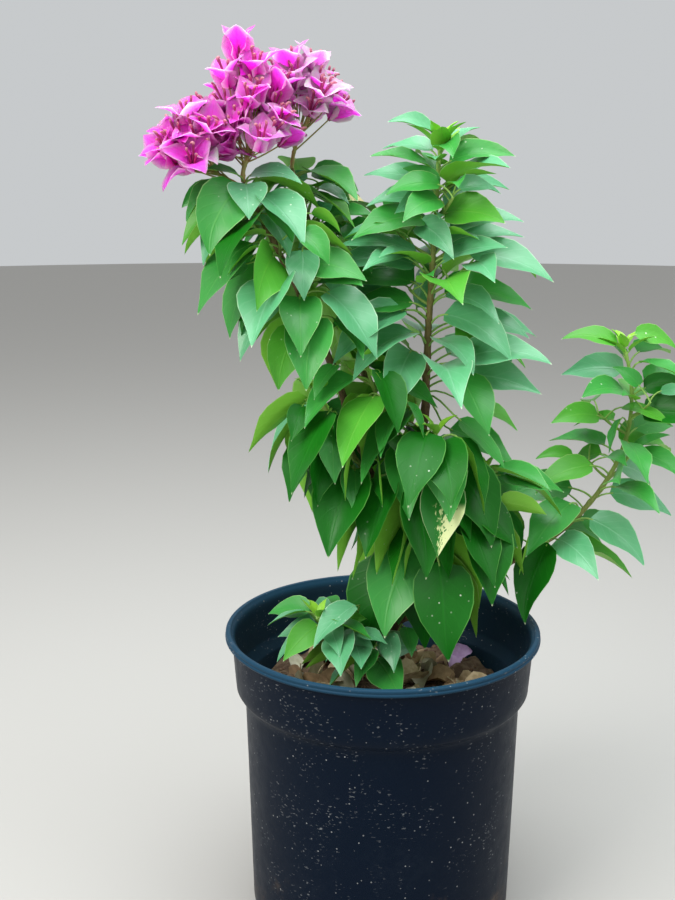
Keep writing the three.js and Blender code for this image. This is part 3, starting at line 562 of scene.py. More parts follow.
def blade_template(columns, rows):
    """A closed blade of two sheets: x is -1 to 1 across, y is 0 to 1 along, z is -1 on the lower."""
    mesh = bmesh.new()
    bmesh.ops.create_grid(mesh, x_segments=columns, y_segments=rows, size=1)
    upper = mesh.verts[:] + mesh.edges[:] + mesh.faces[:]
    lower = bmesh.ops.duplicate(mesh, geom=upper)["geom"]
    bmesh.ops.reverse_faces(mesh, faces=[part for part in lower if isinstance(part, bmesh.types.BMFace)])
    for vertex in [part for part in lower if isinstance(part, bmesh.types.BMVert)]:
        if abs(vertex.co.x) < 0.99 and abs(vertex.co.y) < 0.99:
            vertex.co.z = -1
    for vertex in mesh.verts:
        if abs(vertex.co.y) > 0.99:
            vertex.co.x = 0
        share = (vertex.co.y + 1) / 2
        vertex.co.y = mix(share, 0.5 - 0.5 * math.cos(math.pi * share), 0.5)
    bmesh.ops.remove_doubles(mesh, verts=mesh.verts, dist=0.001)
    return Template(mesh)


def tube_template(sides, steps):
    """A closed tube round the Z axis, from 0 to 1."""
    mesh = bmesh.new()
    bmesh.ops.create_cone(mesh, cap_ends=True, segments=sides, radius1=1, radius2=1, depth=1)
    uprights = [edge for edge in mesh.edges if abs(edge.verts[0].co.z - edge.verts[1].co.z) > 0.5]
    bmesh.ops.subdivide_edges(mesh, edges=uprights, cuts=steps - 1, use_grid_fill=True)
    bmesh.ops.translate(mesh, verts=mesh.verts, vec=(0, 0, 0.5))
    return Template(mesh)


blade = blade_template(4, 9)
bract_blade = blade_template(4, 7)
slim_tube = tube_template(5, 5)
print("faces of a leaf blade:", len(blade.counts), "and of a leaf stalk:", len(slim_tube.counts))

# %% [markdown]
# ## Paths and tubes
# Limbs, stems and stalks are tubes bent along Bezier paths. A path is measured by its length, so that
# a share of it means the same on a short stalk and on a long stem.

# %% Paths
def unit(vectors):
    return vectors / np.linalg.norm(vectors, axis=-1, keepdims=True)


def towards(heading, rise=0.0):
    """One step out at a heading, and a rise upwards."""
    return np.array([math.cos(heading), math.sin(heading), rise])


class Path:
    """A Bezier path in millimetres: a foot, two handles and a tip."""

    def __init__(self, handles):
        self.handles = np.array(handles, float)
        self.ways = np.linspace(0, 1, 201)
        steps = np.linalg.norm(np.diff(self.on(self.ways), axis=0), axis=1)
        self.reached = np.concatenate([[0.0], np.cumsum(steps)])
        self.length = self.reached[-1]

    def on(self, way):
        way = np.asarray(way, float)[..., None]
        foot, first, second, tip = self.handles
        back = 1 - way
        return back**3 * foot + 3 * back**2 * way * first + 3 * back * way**2 * second + way**3 * tip

    def at(self, share):
        return self.on(np.interp(np.asarray(share) * self.length, self.reached, self.ways))

    def heading(self, share):
        share = np.clip(share, 0.01, 0.99)
        return unit(self.at(share + 0.01) - self.at(share - 0.01))


def bend_tube(template, path, radius_at):
    """Wraps a tube round a path. radius_at(share, angle) gives its radius."""
    share = template.points[:, 2]
    angle = np.arctan2(template.points[:, 1], template.points[:, 0])
    heading = path.heading(share)
    foot, first, second, tip = path.handles
    flat = np.cross(second - foot + first - foot, tip - foot)
    if np.linalg.norm(flat) < 0.1 * path.length**2:
        flat = np.eye(3)[np.argmin(np.abs(tip - foot))]
    side = unit(np.cross(flat, heading))
    other = np.cross(heading, side)
    radius = radius_at(share, angle)[:, None]
    return path.at(share) + radius * (np.cos(angle)[:, None] * side + np.sin(angle)[:, None] * other)


def taper(radius, tip=1.0):
    """A radius that runs from one end's value to the other's, and closes to the tip's share."""
    return lambda share, angle: mix(*radius, share) * np.where(share > 0.995, tip, 1.0)


# %% [markdown]
# ## Joining the copies
# Every copy of a leaf uses the same square of its map, so that one pattern fits all. A second map puts
# each finish in a column of its own, for programs that paint the finishes into one picture.

# %% Gathering
class Gathering:
    """Collects bent copies of templates, in millimetres, and joins them into one piece."""

    def __init__(self):
        self.size = 0
        self.parts = {"points": [], "corners": [], "counts": [], "slots": [], "places": [], "ages": []}

    def add(self, template, points, slot=0, below=None, age=0.0):
        """slot is the finish of the upper faces, and below that of the lower ones."""
        values = {
            "points": points,
            "corners": template.corners + self.size,
            "counts": template.counts,
            "slots": np.where(template.below, slot if below is None else below, slot),
            "places": template.points[template.corners, :2] * (0.5, 1) + (0.5, 0),
            "ages": np.broadcast_to(age, len(points)),
        }
        for name, value in values.items():
            self.parts[name].append(value)
        self.size += len(points)

    def wrap(self, template, path, radius_at, slot=0, age=0.0):
        self.add(template, bend_tube(template, path, radius_at), slot, age=age)

    def piece(self, name, materials, slot, *nodes, mapped=False, sharp=60):
        joined = {part: np.concatenate(values) for part, values in self.parts.items()}
        used, joined["slots"] = np.unique(joined["slots"], return_inverse=True)
        data = bpy.data.meshes.new(name)
        data.vertices.add(self.size)
        data.vertices.foreach_set("co", (joined["points"] * MM).ravel())
        data.loops.add(len(joined["corners"]))
        data.loops.foreach_set("vertex_index", joined["corners"])
        data.polygons.add(len(joined["counts"]))
        data.polygons.foreach_set("loop_start", np.cumsum(joined["counts"]) - joined["counts"])
        for i in used:
            data.materials.append(materials[i])
        data.polygons.foreach_set("material_index", joined["slots"])
        data.update(calc_edges=True)
        data.shade_smooth()
        data.set_sharp_from_angle(angle=math.radians(sharp))
        if mapped:
            places = joined["places"]
            columns = np.repeat(joined["slots"], joined["counts"])[:, None]
            spread = (places * (0.96, 1) + (0.02, 0) + columns * (1, 0)) / (len(used), 1)
            for layer, values in ((LEAF_MAP, places), ("OFBake", spread)):
                data.uv_layers.new(name=layer).data.foreach_set("uv", values.ravel())
        else:
            data.attributes.new("age", "FLOAT", "POINT").data.foreach_set("value", joined["ages"])
        return keep(name, data, [], slot, *nodes)


# %% [markdown]
# ## The growing rule
# The model's leaves come from a rule with seeded draws: a leaf turns from the last by the golden angle,
# leans to the side that its shoot faces, and strays a little in every size. The same rule is written
# here again, so the same leaves come out, and more can be grown between them.

# %% Seeded draws
MOST_TRIES = 24
BITS = 0xFFFFFFFF


def draw(seed, number, use):
    """A value from 0 to 1, always the same for the same seed, number and use. Each use has a number."""
    mixed = (seed * 374761393 ^ (number + 1) * 668265263 ^ (use + 1) * 974711) & BITS
    mixed = (mixed ^ mixed >> 15) * 2146121005 & BITS
    mixed = (mixed ^ mixed >> 13) * 1540483477 & BITS
    return (mixed ^ mixed >> 16) / (BITS + 1)


def swing(seed, number, use, amount):
    return (draw(seed, number, use) * 2 - 1) * amount


# %% [markdown]
# ## Bark with relief
# A young bougainvillea's wood is not smooth. It is finely ridged along its length, and at every old
# leaf's place stands a knob with a scar, some with a dry stalk left on it. The ridges are noise
# stretched along the limb, and the knobs stand round it by the golden angle, as the leaves once did.

# %% Bark relief
def bark_radius(path, radius, ridge, knob, spacing, flare=0.0, flare_height=26.0):
    """ridge and knob are heights in millimetres, and spacing is the way from one knob to the next."""
    def radius_at(share, angle):
        along = share * path.length
        body = mix(*radius, share)
        lobes = 1 + 0.3 * np.cos(3 * angle + 1) + 0.15 * np.cos(5 * angle)
        body = body + flare * np.clip(1 - along / flare_height, 0, 1) ** 2 * lobes
        for i in range(int(path.length / spacing)):
            away = (along - (i + 0.6) * spacing) / (0.16 * spacing)
            facing = 0.35 + 0.65 * ((1 + np.cos(angle - i * GOLDEN_ANGLE)) / 2) ** 2
            body = body + knob * np.exp(-away**2) * facing
        for scale, height in ((2.6, ridge), (1.1, 0.5 * ridge)):
            places = zip(body * np.cos(angle) / scale, body * np.sin(angle) / scale, along / (4.5 * scale))
            body = body + height * np.array([noise.noise(Vector(place)) for place in places])
        return body

    return radius_at


# %% Limb sizes
LIMBS = {
    "trunk": {
        "path": [(12, 15, 216), (11, 14, 308), (29, 4, 410), (38, 1, 505)], "radius": (6.4, 3.9),
        "bark": {"ridge": 0.8, "knob": 1.3, "spacing": 21, "flare": 5.2}, "age": (0.0, 0.22),
    },
    "left_bough": {
        "path": [(17, 10, 335), (2, 0, 405), (-34, -18, 508), (-57, -20, 567)], "radius": (4.2, 3.2),
        "bark": {"ridge": 0.6, "knob": 1.5, "spacing": 19}, "age": (0.08, 0.28),
    },
    "back_bough": {
        "path": [(26, 6, 395), (12, 22, 450), (-24, 30, 545), (-42, 30, 592)], "radius": (3.7, 2.8),
        "bark": {"ridge": 0.5, "knob": 1.3, "spacing": 20}, "age": (0.1, 0.3),
    },
    "right_bough": {
        "path": [(13, 14, 286), (48, 20, 306), (90, 26, 322), (128, 32, 344)], "radius": (3.8, 3.2),
        "bark": {"ridge": 0.5, "knob": 1.1, "spacing": 24}, "age": (0.15, 0.4),
    },
}

# %% Build the limbs
STALK_SEED = 19
FIRST_STALK = 3
limb_tube = tube_template(22, 120)


def dry_stalk_path(path, spacing, number):
    """What is left of a fallen leaf's stalk, at the knob of its number."""
    foot = path.at(min((number + 0.6) * spacing / path.length, 1.0))
    angle = number * GOLDEN_ANGLE + 0.5 * draw(STALK_SEED, number, 1)
    out = towards(angle, mix(0.3, 1.1, draw(STALK_SEED, number, 2)))
    length = mix(7, 30, draw(STALK_SEED, number, 3) ** 2)
    bend = np.array([swing(STALK_SEED, number, use, 0.3) for use in (4, 5)] + [-0.3]) * length
    return Path([foot, foot + out * length * 0.4, foot + out * length * 0.7, foot + out * length + bend])


for name, limb in LIMBS.items():
    path, spacing = Path(limb["path"]), limb["bark"]["spacing"]
    bark = Gathering()
    age = mix(*limb["age"], limb_tube.points[:, 2])
    bark.wrap(limb_tube, path, bark_radius(path, limb["radius"], **limb["bark"]), age=age)
    for number in range(FIRST_STALK, int(path.length / spacing)):
        bark.wrap(slim_tube, dry_stalk_path(path, spacing, number), taper((1.1, 0.6)), 1)
    bark.piece(f"{name}_bark", [young_bark, dry_stalk], "bark", name, sharp=80)


# %% [markdown]
# ## Shoots
# These are the model's own sizes for each shoot, in millimetres and degrees, from foot to tip. facing is
# where the leaves lean and lean is how strongly. depth is how far they spread from front to back, and
# tilt turns their faces to the front. Tones are how the finishes are dealt out: bluish, with the sky's
# sheen painted into its green, on the top leaves, and deep, a green with painted shade, where they hang
# in the shade.

# %% Shoot sizes
SHOOTS = {
    "leader_shoot": {
        "seed": 11, "path": [(38, 1, 505), (37, -5, 580), (44, -5, 660), (46, -5, 738)],
        "radius": (3.8, 1.5), "leaves": 39, "blade": (88, 46), "width": 0.5, "stalk": (27, 11),
        "rise": (30, 54), "pitch": (4, 24), "curl": (56, 42), "tilt": 26, "facing": 0, "lean": 0.1,
        "depth": 0.6, "twigs": 3, "reach": ((-78, -124, 432), (160, 118, 766)), "age": (0.22, 0.9),
        "fill": 18, "tones": {"bluish": 0.62, "green": 0.26, "yellowish": 0.12}, "tip": (8, 40),
    },
    "left_shoot": {
        "seed": 23, "path": [(-57, -20, 567), (-74, -20, 606), (-105, -20, 664), (-124, -20, 704)],
        "radius": (3.1, 2.2), "leaves": 22, "blade": (76, 66), "width": 0.6, "stalk": (23, 17),
        "rise": (6, 26), "pitch": (-40, -14), "curl": (50, 44), "tilt": 12, "facing": 200, "lean": 0.16,
        "reach": ((-192, -122, 462), (-2, 76, 724)), "age": (0.2, 0.5), "fill": 14,
        "tones": {"bluish": 0.5, "green": 0.32, "deep": 0.08, "yellowish": 0.1}, "tip": (0, 0),
    },
    "inner_spray": {
        "seed": 97, "path": [(33, 3, 450), (12, -12, 480), (-10, -26, 508), (-18, -34, 552)],
        "radius": (2.4, 1.4), "leaves": 16, "blade": (80, 68), "width": 0.55, "stalk": (20, 16),
        "rise": (8, 26), "pitch": (-46, -26), "curl": (34, 40), "tilt": 10, "facing": 225, "lean": 0.34,
        "reach": ((-92, -134, 384), (58, 60, 604)), "age": (0.5, 0.95),
        "tones": {"bluish": 0.32, "green": 0.36, "deep": 0.27, "yellowish": 0.05}, "tip": (3, 30),
    },
    "front_spray": {
        "seed": 67, "path": [(18, 10, 344), (38, -14, 376), (52, -32, 432), (44, -42, 490)],
        "radius": (2.6, 1.4), "leaves": 18, "blade": (98, 80), "width": 0.58, "stalk": (20, 17),
        "rise": (2, 14), "pitch": (-66, -52), "curl": (22, 30), "tilt": 0, "facing": 275, "lean": 0.5,
        "reach": ((-66, -138, 240), (130, 14, 536)),
        "tones": {"green": 0.32, "deep": 0.58, "yellowish": 0.1},
    },
    "left_spray": {
        "seed": 53, "path": [(22, 8, 372), (-4, -8, 424), (-36, -30, 474), (-62, -38, 524)],
        "radius": (2.6, 1.5), "leaves": 17, "blade": (86, 82), "width": 0.57, "stalk": (22, 18),
        "rise": (6, 22), "pitch": (-60, -44), "curl": (34, 38), "tilt": 10, "facing": 215, "lean": 0.38,
        "reach": ((-124, -122, 352), (30, 44, 566)),
        "tones": {"bluish": 0.12, "green": 0.33, "deep": 0.49, "yellowish": 0.06},
    },
    "right_spray": {
        "seed": 71, "path": [(19, 9, 356), (46, 2, 376), (80, -8, 404), (92, -14, 446)],
        "radius": (2.5, 1.4), "leaves": 18, "blade": (92, 80), "width": 0.56, "stalk": (22, 18),
        "rise": (6, 26), "pitch": (-54, -30), "curl": (30, 38), "tilt": 16, "facing": 350, "lean": 0.34,
        "reach": ((16, -116, 244), (178, 104, 520)),
        "tones": {"green": 0.45, "deep": 0.3, "yellowish": 0.25}, "tip": (3, 30),
    },
    "back_shoot": {
        "seed": 37, "path": [(-42, 30, 592), (-55, 30, 628), (-72, 30, 676), (-84, 28, 716)],
        "radius": (2.7, 1.9), "leaves": 20, "blade": (78, 64), "width": 0.54, "stalk": (22, 16),
        "rise": (10, 30), "pitch": (-36, -6), "curl": (50, 42), "tilt": 14, "facing": 50, "lean": 0.26,
        "reach": ((-168, -60, 500), (44, 128, 740)), "age": (0.25, 0.55), "fill": 10,
        "tones": {"bluish": 0.45, "green": 0.3, "yellowish": 0.13, "scorched": 0.12}, "tip": (0, 0),
    },
    "rear_spray": {
        "seed": 83, "path": [(19, 9, 352), (26, 30, 386), (34, 50, 424), (36, 62, 462)],
        "radius": (2.5, 1.4), "leaves": 16, "blade": (90, 76), "width": 0.58, "stalk": (22, 18),
        "rise": (4, 20), "pitch": (-58, -40), "curl": (28, 36), "tilt": 0, "facing": 80, "lean": 0.44,
        "reach": ((-74, 12, 262), (126, 158, 520)),
        "tones": {"green": 0.4, "deep": 0.42, "yellowish": 0.13, "dying": 0.05}, "tip": (3, 30),
    },
    "right_shoot": {
        "seed": 41, "path": [(128, 32, 344), (200, 44, 376), (268, 56, 452), (228, 50, 553)],
        "radius": (3.1, 1.4), "leaves": 27, "blade": (74, 50), "width": 0.47, "stalk": (27, 13),
        "rise": (20, 54), "pitch": (-8, 18), "curl": (48, 42), "tilt": 34, "facing": 0, "lean": 0.04,
        "depth": 0.65, "reach": ((92, -76, 262), (311, 160, 592)), "age": (0.45, 1.0), "fill": 8,
        "tones": {"bluish": 0.1, "green": 0.55, "deep": 0.1, "yellowish": 0.25}, "tip": (6, 32),
    },
    "basal_shoot": {
        "seed": 103, "path": [(12, 15, 246), (-8, 0, 264), (-38, -22, 280), (-62, -34, 310)],
        "radius": (2.2, 1.2), "leaves": 15, "blade": (62, 50), "width": 0.56, "stalk": (18, 11),
        "rise": (4, 30), "pitch": (-26, 2), "curl": (34, 34), "tilt": 12, "facing": 240, "lean": 0.24,
        "reach": ((-122, -112, 233), (36, 70, 352)), "age": (0.5, 0.95), "fill": 10, "grown": 1.12,
        "tones": {"bluish": 0.55, "green": 0.33, "yellowish": 0.12},
    },
}
USUAL = {"depth": 1, "twigs": 2, "fill": 12, "grown": 0.8, "age": (0.45, 0.95), "tip": (3, 28)}
TWIG = {"length": 30, "lift": 0.7, "sag": 0.08, "turn": 2.1, "radius": (1.5, 1.0)}

for shoot in SHOOTS.values():
    shoot.update({**USUAL, **shoot})


# %% [markdown]
# ## Leading leaves
# The largest leaves in front were placed one by one in the model, and the rule fills in around them.
# Each row gives where the stalk leaves the stem as a share of its length, the stalk's heading, rise and
# length, then the blade's heading, pitch, curl, roll, length, width as a share of the length, and finish.
# A few more, most of them over the soil and under the flowers, are added in the same way, though the
# model has none there.

# %% Leading leaves
LEADING = {
    "front_spray": [
        (0.26, 295, -14, 38, 281, -60, 24, 0, 92, 0.62, "deep"),
        (0.49, 332, 3, 32, 317, -48, 26, 6, 74, 0.6, "deep"),
        (0.72, 280, 9, 30, 254, -57, 24, -14, 70, 0.56, "bleached"),
        (0.64, 227, 14, 30, 293, -59, 22, 6, 84, 0.5, "deep"),
    ],
    "left_spray": [
        (0.41, 301, 18, 36, 228, -49, 26, 4, 76, 0.58, "deep"),
        (0.86, 272, 20, 22, 223, -42, 30, 6, 82, 0.6, "deep"),
    ],
    "inner_spray": [(0.45, 318, 32, 30, 217, -30, 30, 8, 86, 0.54, "green")],
    "leader_shoot": [
        (0.63, 319, 33, 20, 355, 36, 60, 30, 68, 0.48, "bluish"),
        (0.55, 344, 16, 34, 349, 2, 40, 34, 80, 0.5, "bluish"),
        (0.14, 330, 18, 34, 349, 28, 56, 32, 86, 0.5, "bluish"),
        (0.09, 322, 15, 36, 305, -35, 30, 4, 64, 0.64, "green"),
        (0.33, 215, 23, 30, 202, -14, 40, -24, 84, 0.5, "bluish"),
        (0.54, 208, 37, 20, 185, 27, 46, -22, 75, 0.44, "bluish"),
    ],
    "right_shoot": [(0.11, 278, 24, 32, 217, -51, 30, -20, 82, 0.46, "deep")],
}
EXTRA_LEAVES = {
    "leader_shoot": [
        (0.04, 319, -26, 41, 339, -32, 24, 16, 63, 0.44, "green"),
        (0.02, 9, -53, 37, 343, -14, 30, 24, 73, 0.54, "green"),
        (0.05, 13, -17, 45, 340, -7, 40, 10, 52, 0.56, "yellowish"),
    ],
    "left_shoot": [
        (0.97, 275, 11, 14, 278, -21, 50, 0, 42, 0.8, "bluish"),
        (0.98, 60, 40, 10, 338, 16, 56, 26, 54, 0.5, "bluish"),
        (0.99, 241, 41, 10, 220, 23, 30, -24, 36, 0.56, "green"),
        (0.9, 228, 6, 22, 214, 0, 56, -8, 56, 0.52, "green"),
        (0.05, 192, 23, 43, 195, -7, 44, -10, 71, 0.45, "bluish"),
        (0.8, 238, -5, 24, 192, -7, 50, 0, 61, 0.46, "bluish"),
    ],
    "right_spray": [
        (0.5, 287, 46, 44, 342, 19, 46, 30, 59, 0.58, "green"),
    ],
    "basal_shoot": [
        (0.6, 297, 65, 47, 223, -22, 34, -10, 57, 0.5, "bluish"),
        (0.9, 193, 40, 23, 196, 4, 40, 16, 39, 0.5, "bluish"),
        (0.45, 260, 15, 27, 211, 5, 30, 14, 60, 0.42, "green"),
        (0.3, 273, 27, 38, 232, -27, 30, 0, 42, 0.52, "green"),
        (0.2, 284, 48, 42, 210, 28, 30, 20, 46, 0.5, "yellowish"),
        (0.1, 285, 52, 47, 279, -30, 30, 0, 32, 0.6, "green"),
        (0.05, 298, 57, 52, 284, -32, 30, -10, 31, 0.6, "green"),
    ],
}

# %% [markdown]
# ## One leaf
# A leaf is known by where its stalk starts, where its blade starts, and the blade's headings and sizes.
# Its midrib is an arc, and its margins are half a width to either side. To look real the blade is also
# folded a little along the midrib, its margins waver, and its point is drawn out and hooked. The
# model's blades have a few corners on a plainer outline, which is kept for finding them again.

# %% Leaf sizes
def heading_of(shoot, spin):
    facing = math.radians(shoot["facing"])
    across = mix(math.cos(spin), math.cos(facing), shoot["lean"])
    ahead = mix(math.sin(spin), math.sin(facing), shoot["lean"])
    return math.atan2(ahead * shoot["depth"], across)


def stalk_end(origin, heading, rise, length):
    """The end of a stalk that leaves its origin at a heading and rises at an angle."""
    return origin + towards(heading) * (math.cos(rise) * length) + UP * math.sin(rise) * length


def leaf_at(shoot, number, attempt, origin, share, size):
    def stray(use, amount):
        return swing(shoot["seed"], number * MOST_TRIES + attempt, use, amount)

    slack = 1 + attempt * 0.2
    azimuth = heading_of(shoot, number * GOLDEN_ANGLE + stray(0, 0.3 * slack))
    rise = math.radians(mix(*shoot["rise"], share) + stray(1, 10))
    stalk = mix(*shoot["stalk"], share) * (1 + stray(2, 0.18))
    length = mix(*shoot["blade"], share**3) * size * (1 - attempt * 0.014) * (1 + stray(3, 0.12))
    turned = azimuth + stray(4, 0.34 * slack)
    return {
        "origin": origin, "base": stalk_end(origin, azimuth, rise, stalk), "azimuth": turned,
        "pitch": math.radians(mix(*shoot["pitch"], share) + stray(5, 13 * slack)),
        "curl": max(math.radians(mix(*shoot["curl"], share)) * (1 + stray(6, 0.2)), 0.02),
        "roll": math.radians(shoot["tilt"]) * math.cos(turned) + stray(7, 0.46 * slack),
        "length": length, "width": length * shoot["width"] * (1 + stray(8, 0.09)),
        "key": (shoot["seed"], number), "tone": dealt_tone(shoot, number),
    }


def dealt_tone(shoot, number):
    """The leaf's finish, dealt out by the shoot's shares."""
    shares = np.cumsum(list(shoot["tones"].values()))
    place = int(np.searchsorted(shares, draw(shoot["seed"], number, 41)))
    return list(shoot["tones"])[min(place, len(shares) - 1)]


def placed_leaf(row, key, path):
    share, way, rise, stalk, *angles, length, width, tone = row
    way, rise, azimuth, pitch, curl, roll = np.radians([way, rise, *angles])
    origin = path.at(share)
    return {
        "origin": origin, "base": stalk_end(origin, way, rise, stalk), "azimuth": azimuth, "pitch": pitch,
        "curl": curl, "roll": roll, "length": length, "width": length * width, "key": key, "tone": tone,
    }


# %% Leaf shape
def midrib(leaf, along):
    """Points on the midrib, with the headings across the blade and out of its upper face."""
    pitch = (leaf["pitch"] - leaf["curl"] * along)[:, None]
    run = (math.sin(leaf["pitch"]) - np.sin(pitch)) / leaf["curl"]
    climb = (np.cos(pitch) - math.cos(leaf["pitch"])) / leaf["curl"]
    out = towards(leaf["azimuth"])
    flat_side = np.array([-out[1], out[0], 0.0])
    flat_normal = -np.sin(pitch) * out + np.cos(pitch) * UP
    side = math.cos(leaf["roll"]) * flat_side + math.sin(leaf["roll"]) * flat_normal
    normal = math.cos(leaf["roll"]) * flat_normal - math.sin(leaf["roll"]) * flat_side
    return leaf["base"] + (run * out + climb * UP) * leaf["length"], side, normal


def plain_half_width(along):
    """Half of the width of one of the model's blades, as a share of the whole."""
    drawn = 1 - 0.3 * np.clip((along - 0.7) / 0.3, 0, None) ** 2
    return 0.5 * np.clip(np.sin(math.pi * along**0.7), 0, None) ** 1.1 * drawn


def half_width(along):
    """The same for a real blade: fuller and rounder at the base, and drawn out to a longer point."""
    drawn = 1 - 0.62 * np.clip((along - 0.48) / 0.52, 0, 1) ** 1.3
    return 0.51 * np.clip(np.sin(math.pi * along**0.6), 0, None) ** 0.72 * drawn


def leaf_points(leaf, template, fold=0.0, wave=0.0, thickness=0.0, outline=half_width):
    across, along, lower = template.points.T
    spine, side, normal = midrib(leaf, along)
    half = outline(along) * leaf["width"]
    phase = draw(*leaf["key"], 40) * math.tau
    ripple = np.sin(math.tau * 1.7 * along + phase + 1.3 * np.sign(across)) * across**2
    lift = fold * np.abs(across) ** 1.4 * half + wave * ripple * np.sin(math.pi * along) * leaf["length"]
    depth = lower * thickness * (1 - across**2) * np.sin(math.pi * along) ** 0.5
    hook = wave * 2 * math.cos(phase) * np.clip((along - 0.6) / 0.4, 0, 1) ** 2 * leaf["length"]
    return spine + side * (across * half + hook)[:, None] + normal * (lift + depth)[:, None]


# %% [markdown]
# ## Finding the model's leaves
# The model drops a leaf's first tries where they would touch something. Rather than test that again,
# each try's tip and widest corners are looked up among the node's own corners, and the try that is
# there is the model's leaf.

# %% Looking up a leaf
LEADING_KEY = 900
LEAF_MATCH = 0.1
TWIG_MATCH = 1.5
TWIG_LEAVES = 3
TWIG_LEAF_KEY = 200

corner_shape = Template(bmesh.new())
corner_shape.points = np.array([(0.0, 1.0, 0.0), (-1.0, 0.34, 0.0), (1.0, 0.34, 0.0)])


def corner_tree(node):
    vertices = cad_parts[node].data.vertices
    tree = kdtree.KDTree(len(vertices))
    for vertex in vertices:
        tree.insert(vertex.co / MM, vertex.index)
    tree.balance()
    return tree


def in_model(tree, leaf):
    corners = leaf_points(leaf, corner_shape, outline=plain_half_width)
    return all(tree.find(point)[2] < LEAF_MATCH for point in corners)


def first_that(fits, leaf_try):
    """The first try at a leaf that fits, in a list, which is empty where none does."""
    for attempt in range(MOST_TRIES):
        leaf = leaf_try(attempt)
        if fits(leaf):
            return [leaf]
    return []


def model_leaf(tree, shoot, number, origin, share, size):
    def leaf_try(attempt):
        return leaf_at(shoot, number, attempt, origin, share, size)

    return first_that(lambda leaf: in_model(tree, leaf), leaf_try)


# %% Leaves and twigs of the model
def twig_path(shoot, path, number, share, length=TWIG["length"]):
    foot = path.at(mix(0.35, 0.85, share))
    azimuth = heading_of(shoot, number * TWIG["turn"] + draw(shoot["seed"], number, 20))
    length *= 1 + swing(shoot["seed"], number, 21, 0.15)
    tip = foot + towards(azimuth, TWIG["lift"]) * length
    knee = (foot + tip) / 2 - UP * TWIG["sag"] * length
    return Path([foot, knee, knee, tip])


leaves = {name: [] for name in SHOOTS}
twigs = {name: [] for name in SHOOTS}
for name, shoot in SHOOTS.items():
    tree = corner_tree(name)
    path = Path(shoot["path"])
    for number, row in enumerate(LEADING.get(name, [])):
        leaf = placed_leaf(row, (shoot["seed"], LEADING_KEY + number), path)
        leaves[name] += [leaf] if in_model(tree, leaf) else []
    for number in range(shoot["twigs"]):
        share = (number + 0.6) / (shoot["twigs"] + 0.6)
        twig = twig_path(shoot, path, number, share)
        if tree.find(twig.handles[3])[2] < TWIG_MATCH:
            twigs[name].append(twig)
            for i in range(TWIG_LEAVES):
                key = TWIG_LEAF_KEY + number * TWIG_LEAVES + i
                origin = twig.at(mix(0.5, 0.97, i / 2))
                leaves[name] += model_leaf(tree, shoot, key, origin, share, 0.72)
    for number in range(shoot["leaves"]):
        share = number / (shoot["leaves"] - 1)
        leaves[name] += model_leaf(tree, shoot, number, path.at(mix(0.06, 0.99, share)), share, 1)
    print(f"{name}: {len(leaves[name])} leaves and {len(twigs[name])} twigs of the model")


# %% [markdown]
# ## Growing more between them
# The real plant is denser than the model. More leaves grow on the stems and on finer twigs by the same
# rule. Each is kept only if it stays inside its shoot's reach, if a plain outline of its blade and a strip
# for its stalk cross no other leaf's, and if that outline crosses no wood. The finished blades have more
# shape than that outline, and a number of neighbours do cross. Tip leaves, bracts and litter are not
# tested at all.

# %% Clear space
outline = blade_template(2, 5)
grown = []


def solid_tree(points, faces):
    return BVHTree.FromPolygons([tuple(point) for point in points], faces)


wood = []
for stem in [*LIMBS.values(), *SHOOTS.values()]:
    points = bend_tube(slim_tube, Path(stem["path"]), taper(stem["radius"]))
    wood.append(solid_tree(points, slim_tube.faces))


def stalk_path(leaf):
    """A stalk leaves the stem steeply and bends over to meet the blade."""
    start, end = leaf["origin"], leaf["base"]
    reach = np.linalg.norm(end - start)
    spine = midrib(leaf, np.array([0.0, 0.05]))[0]
    blade_way = unit(spine[1] - spine[0])
    leave = unit(unit(end - start) + 0.5 * UP)
    return Path([start, start + leave * reach * 0.4, end - blade_way * reach * 0.35, spine[1]])


def stalk_strip(leaf):
    """A narrow strip along the free part of the stalk."""
    middle = stalk_path(leaf).at(np.linspace(0.2, 0.9, 6))
    aside = midrib(leaf, np.array([0.0]))[1] * 0.8
    faces = [(i, i + 1, i + 7, i + 6) for i in range(5)]
    return solid_tree(np.concatenate([middle - aside, middle + aside]), faces)


def solids_of(leaf):
    points = leaf_points(leaf, outline, 0.2)
    return {
        "points": points, "centre": points.mean(axis=0), "length": leaf["length"],
        "blade": solid_tree(points, outline.faces), "stalk": stalk_strip(leaf),
    }


def is_clear(shoot, leaf):
    new = solids_of(leaf)
    low, high = shoot["reach"]
    if (new["points"] < low).any() or (new["points"] > high).any():
        return False
    if any(new["blade"].overlap(other) for other in wood):
        return False
    for other in grown:
        if np.linalg.norm(new["centre"] - other["centre"]) < 0.6 * (new["length"] + other["length"]) + 20:
            cuts = [("blade", "blade"), ("blade", "stalk"), ("stalk", "blade")]
            if any(new[mine].overlap(other[its]) for mine, its in cuts):
                return False
    grown.append(new)
    return True


for name in SHOOTS:
    grown += [solids_of(leaf) for leaf in leaves[name]]


# %% Further leaves
EXTRA_KEY = 950


def nudged(leaf, attempt):
    """The same leaf, turned and moved a little more with each try."""
    turn, dip, push = [swing(*leaf["key"], 100 + 3 * attempt + i, attempt) for i in range(3)]
    return {
        **leaf, "base": leaf["base"] + np.array([0.4 * turn, -abs(push), 0.4 * dip]),
        "azimuth": leaf["azimuth"] + 0.03 * turn, "pitch": leaf["pitch"] + 0.02 * dip,
    }


def extra_leaf(shoot, number, row, path):
    leaf = placed_leaf(row, (shoot["seed"], EXTRA_KEY + number), path)
    return first_that(lambda tried: is_clear(shoot, tried), lambda attempt: nudged(leaf, attempt))


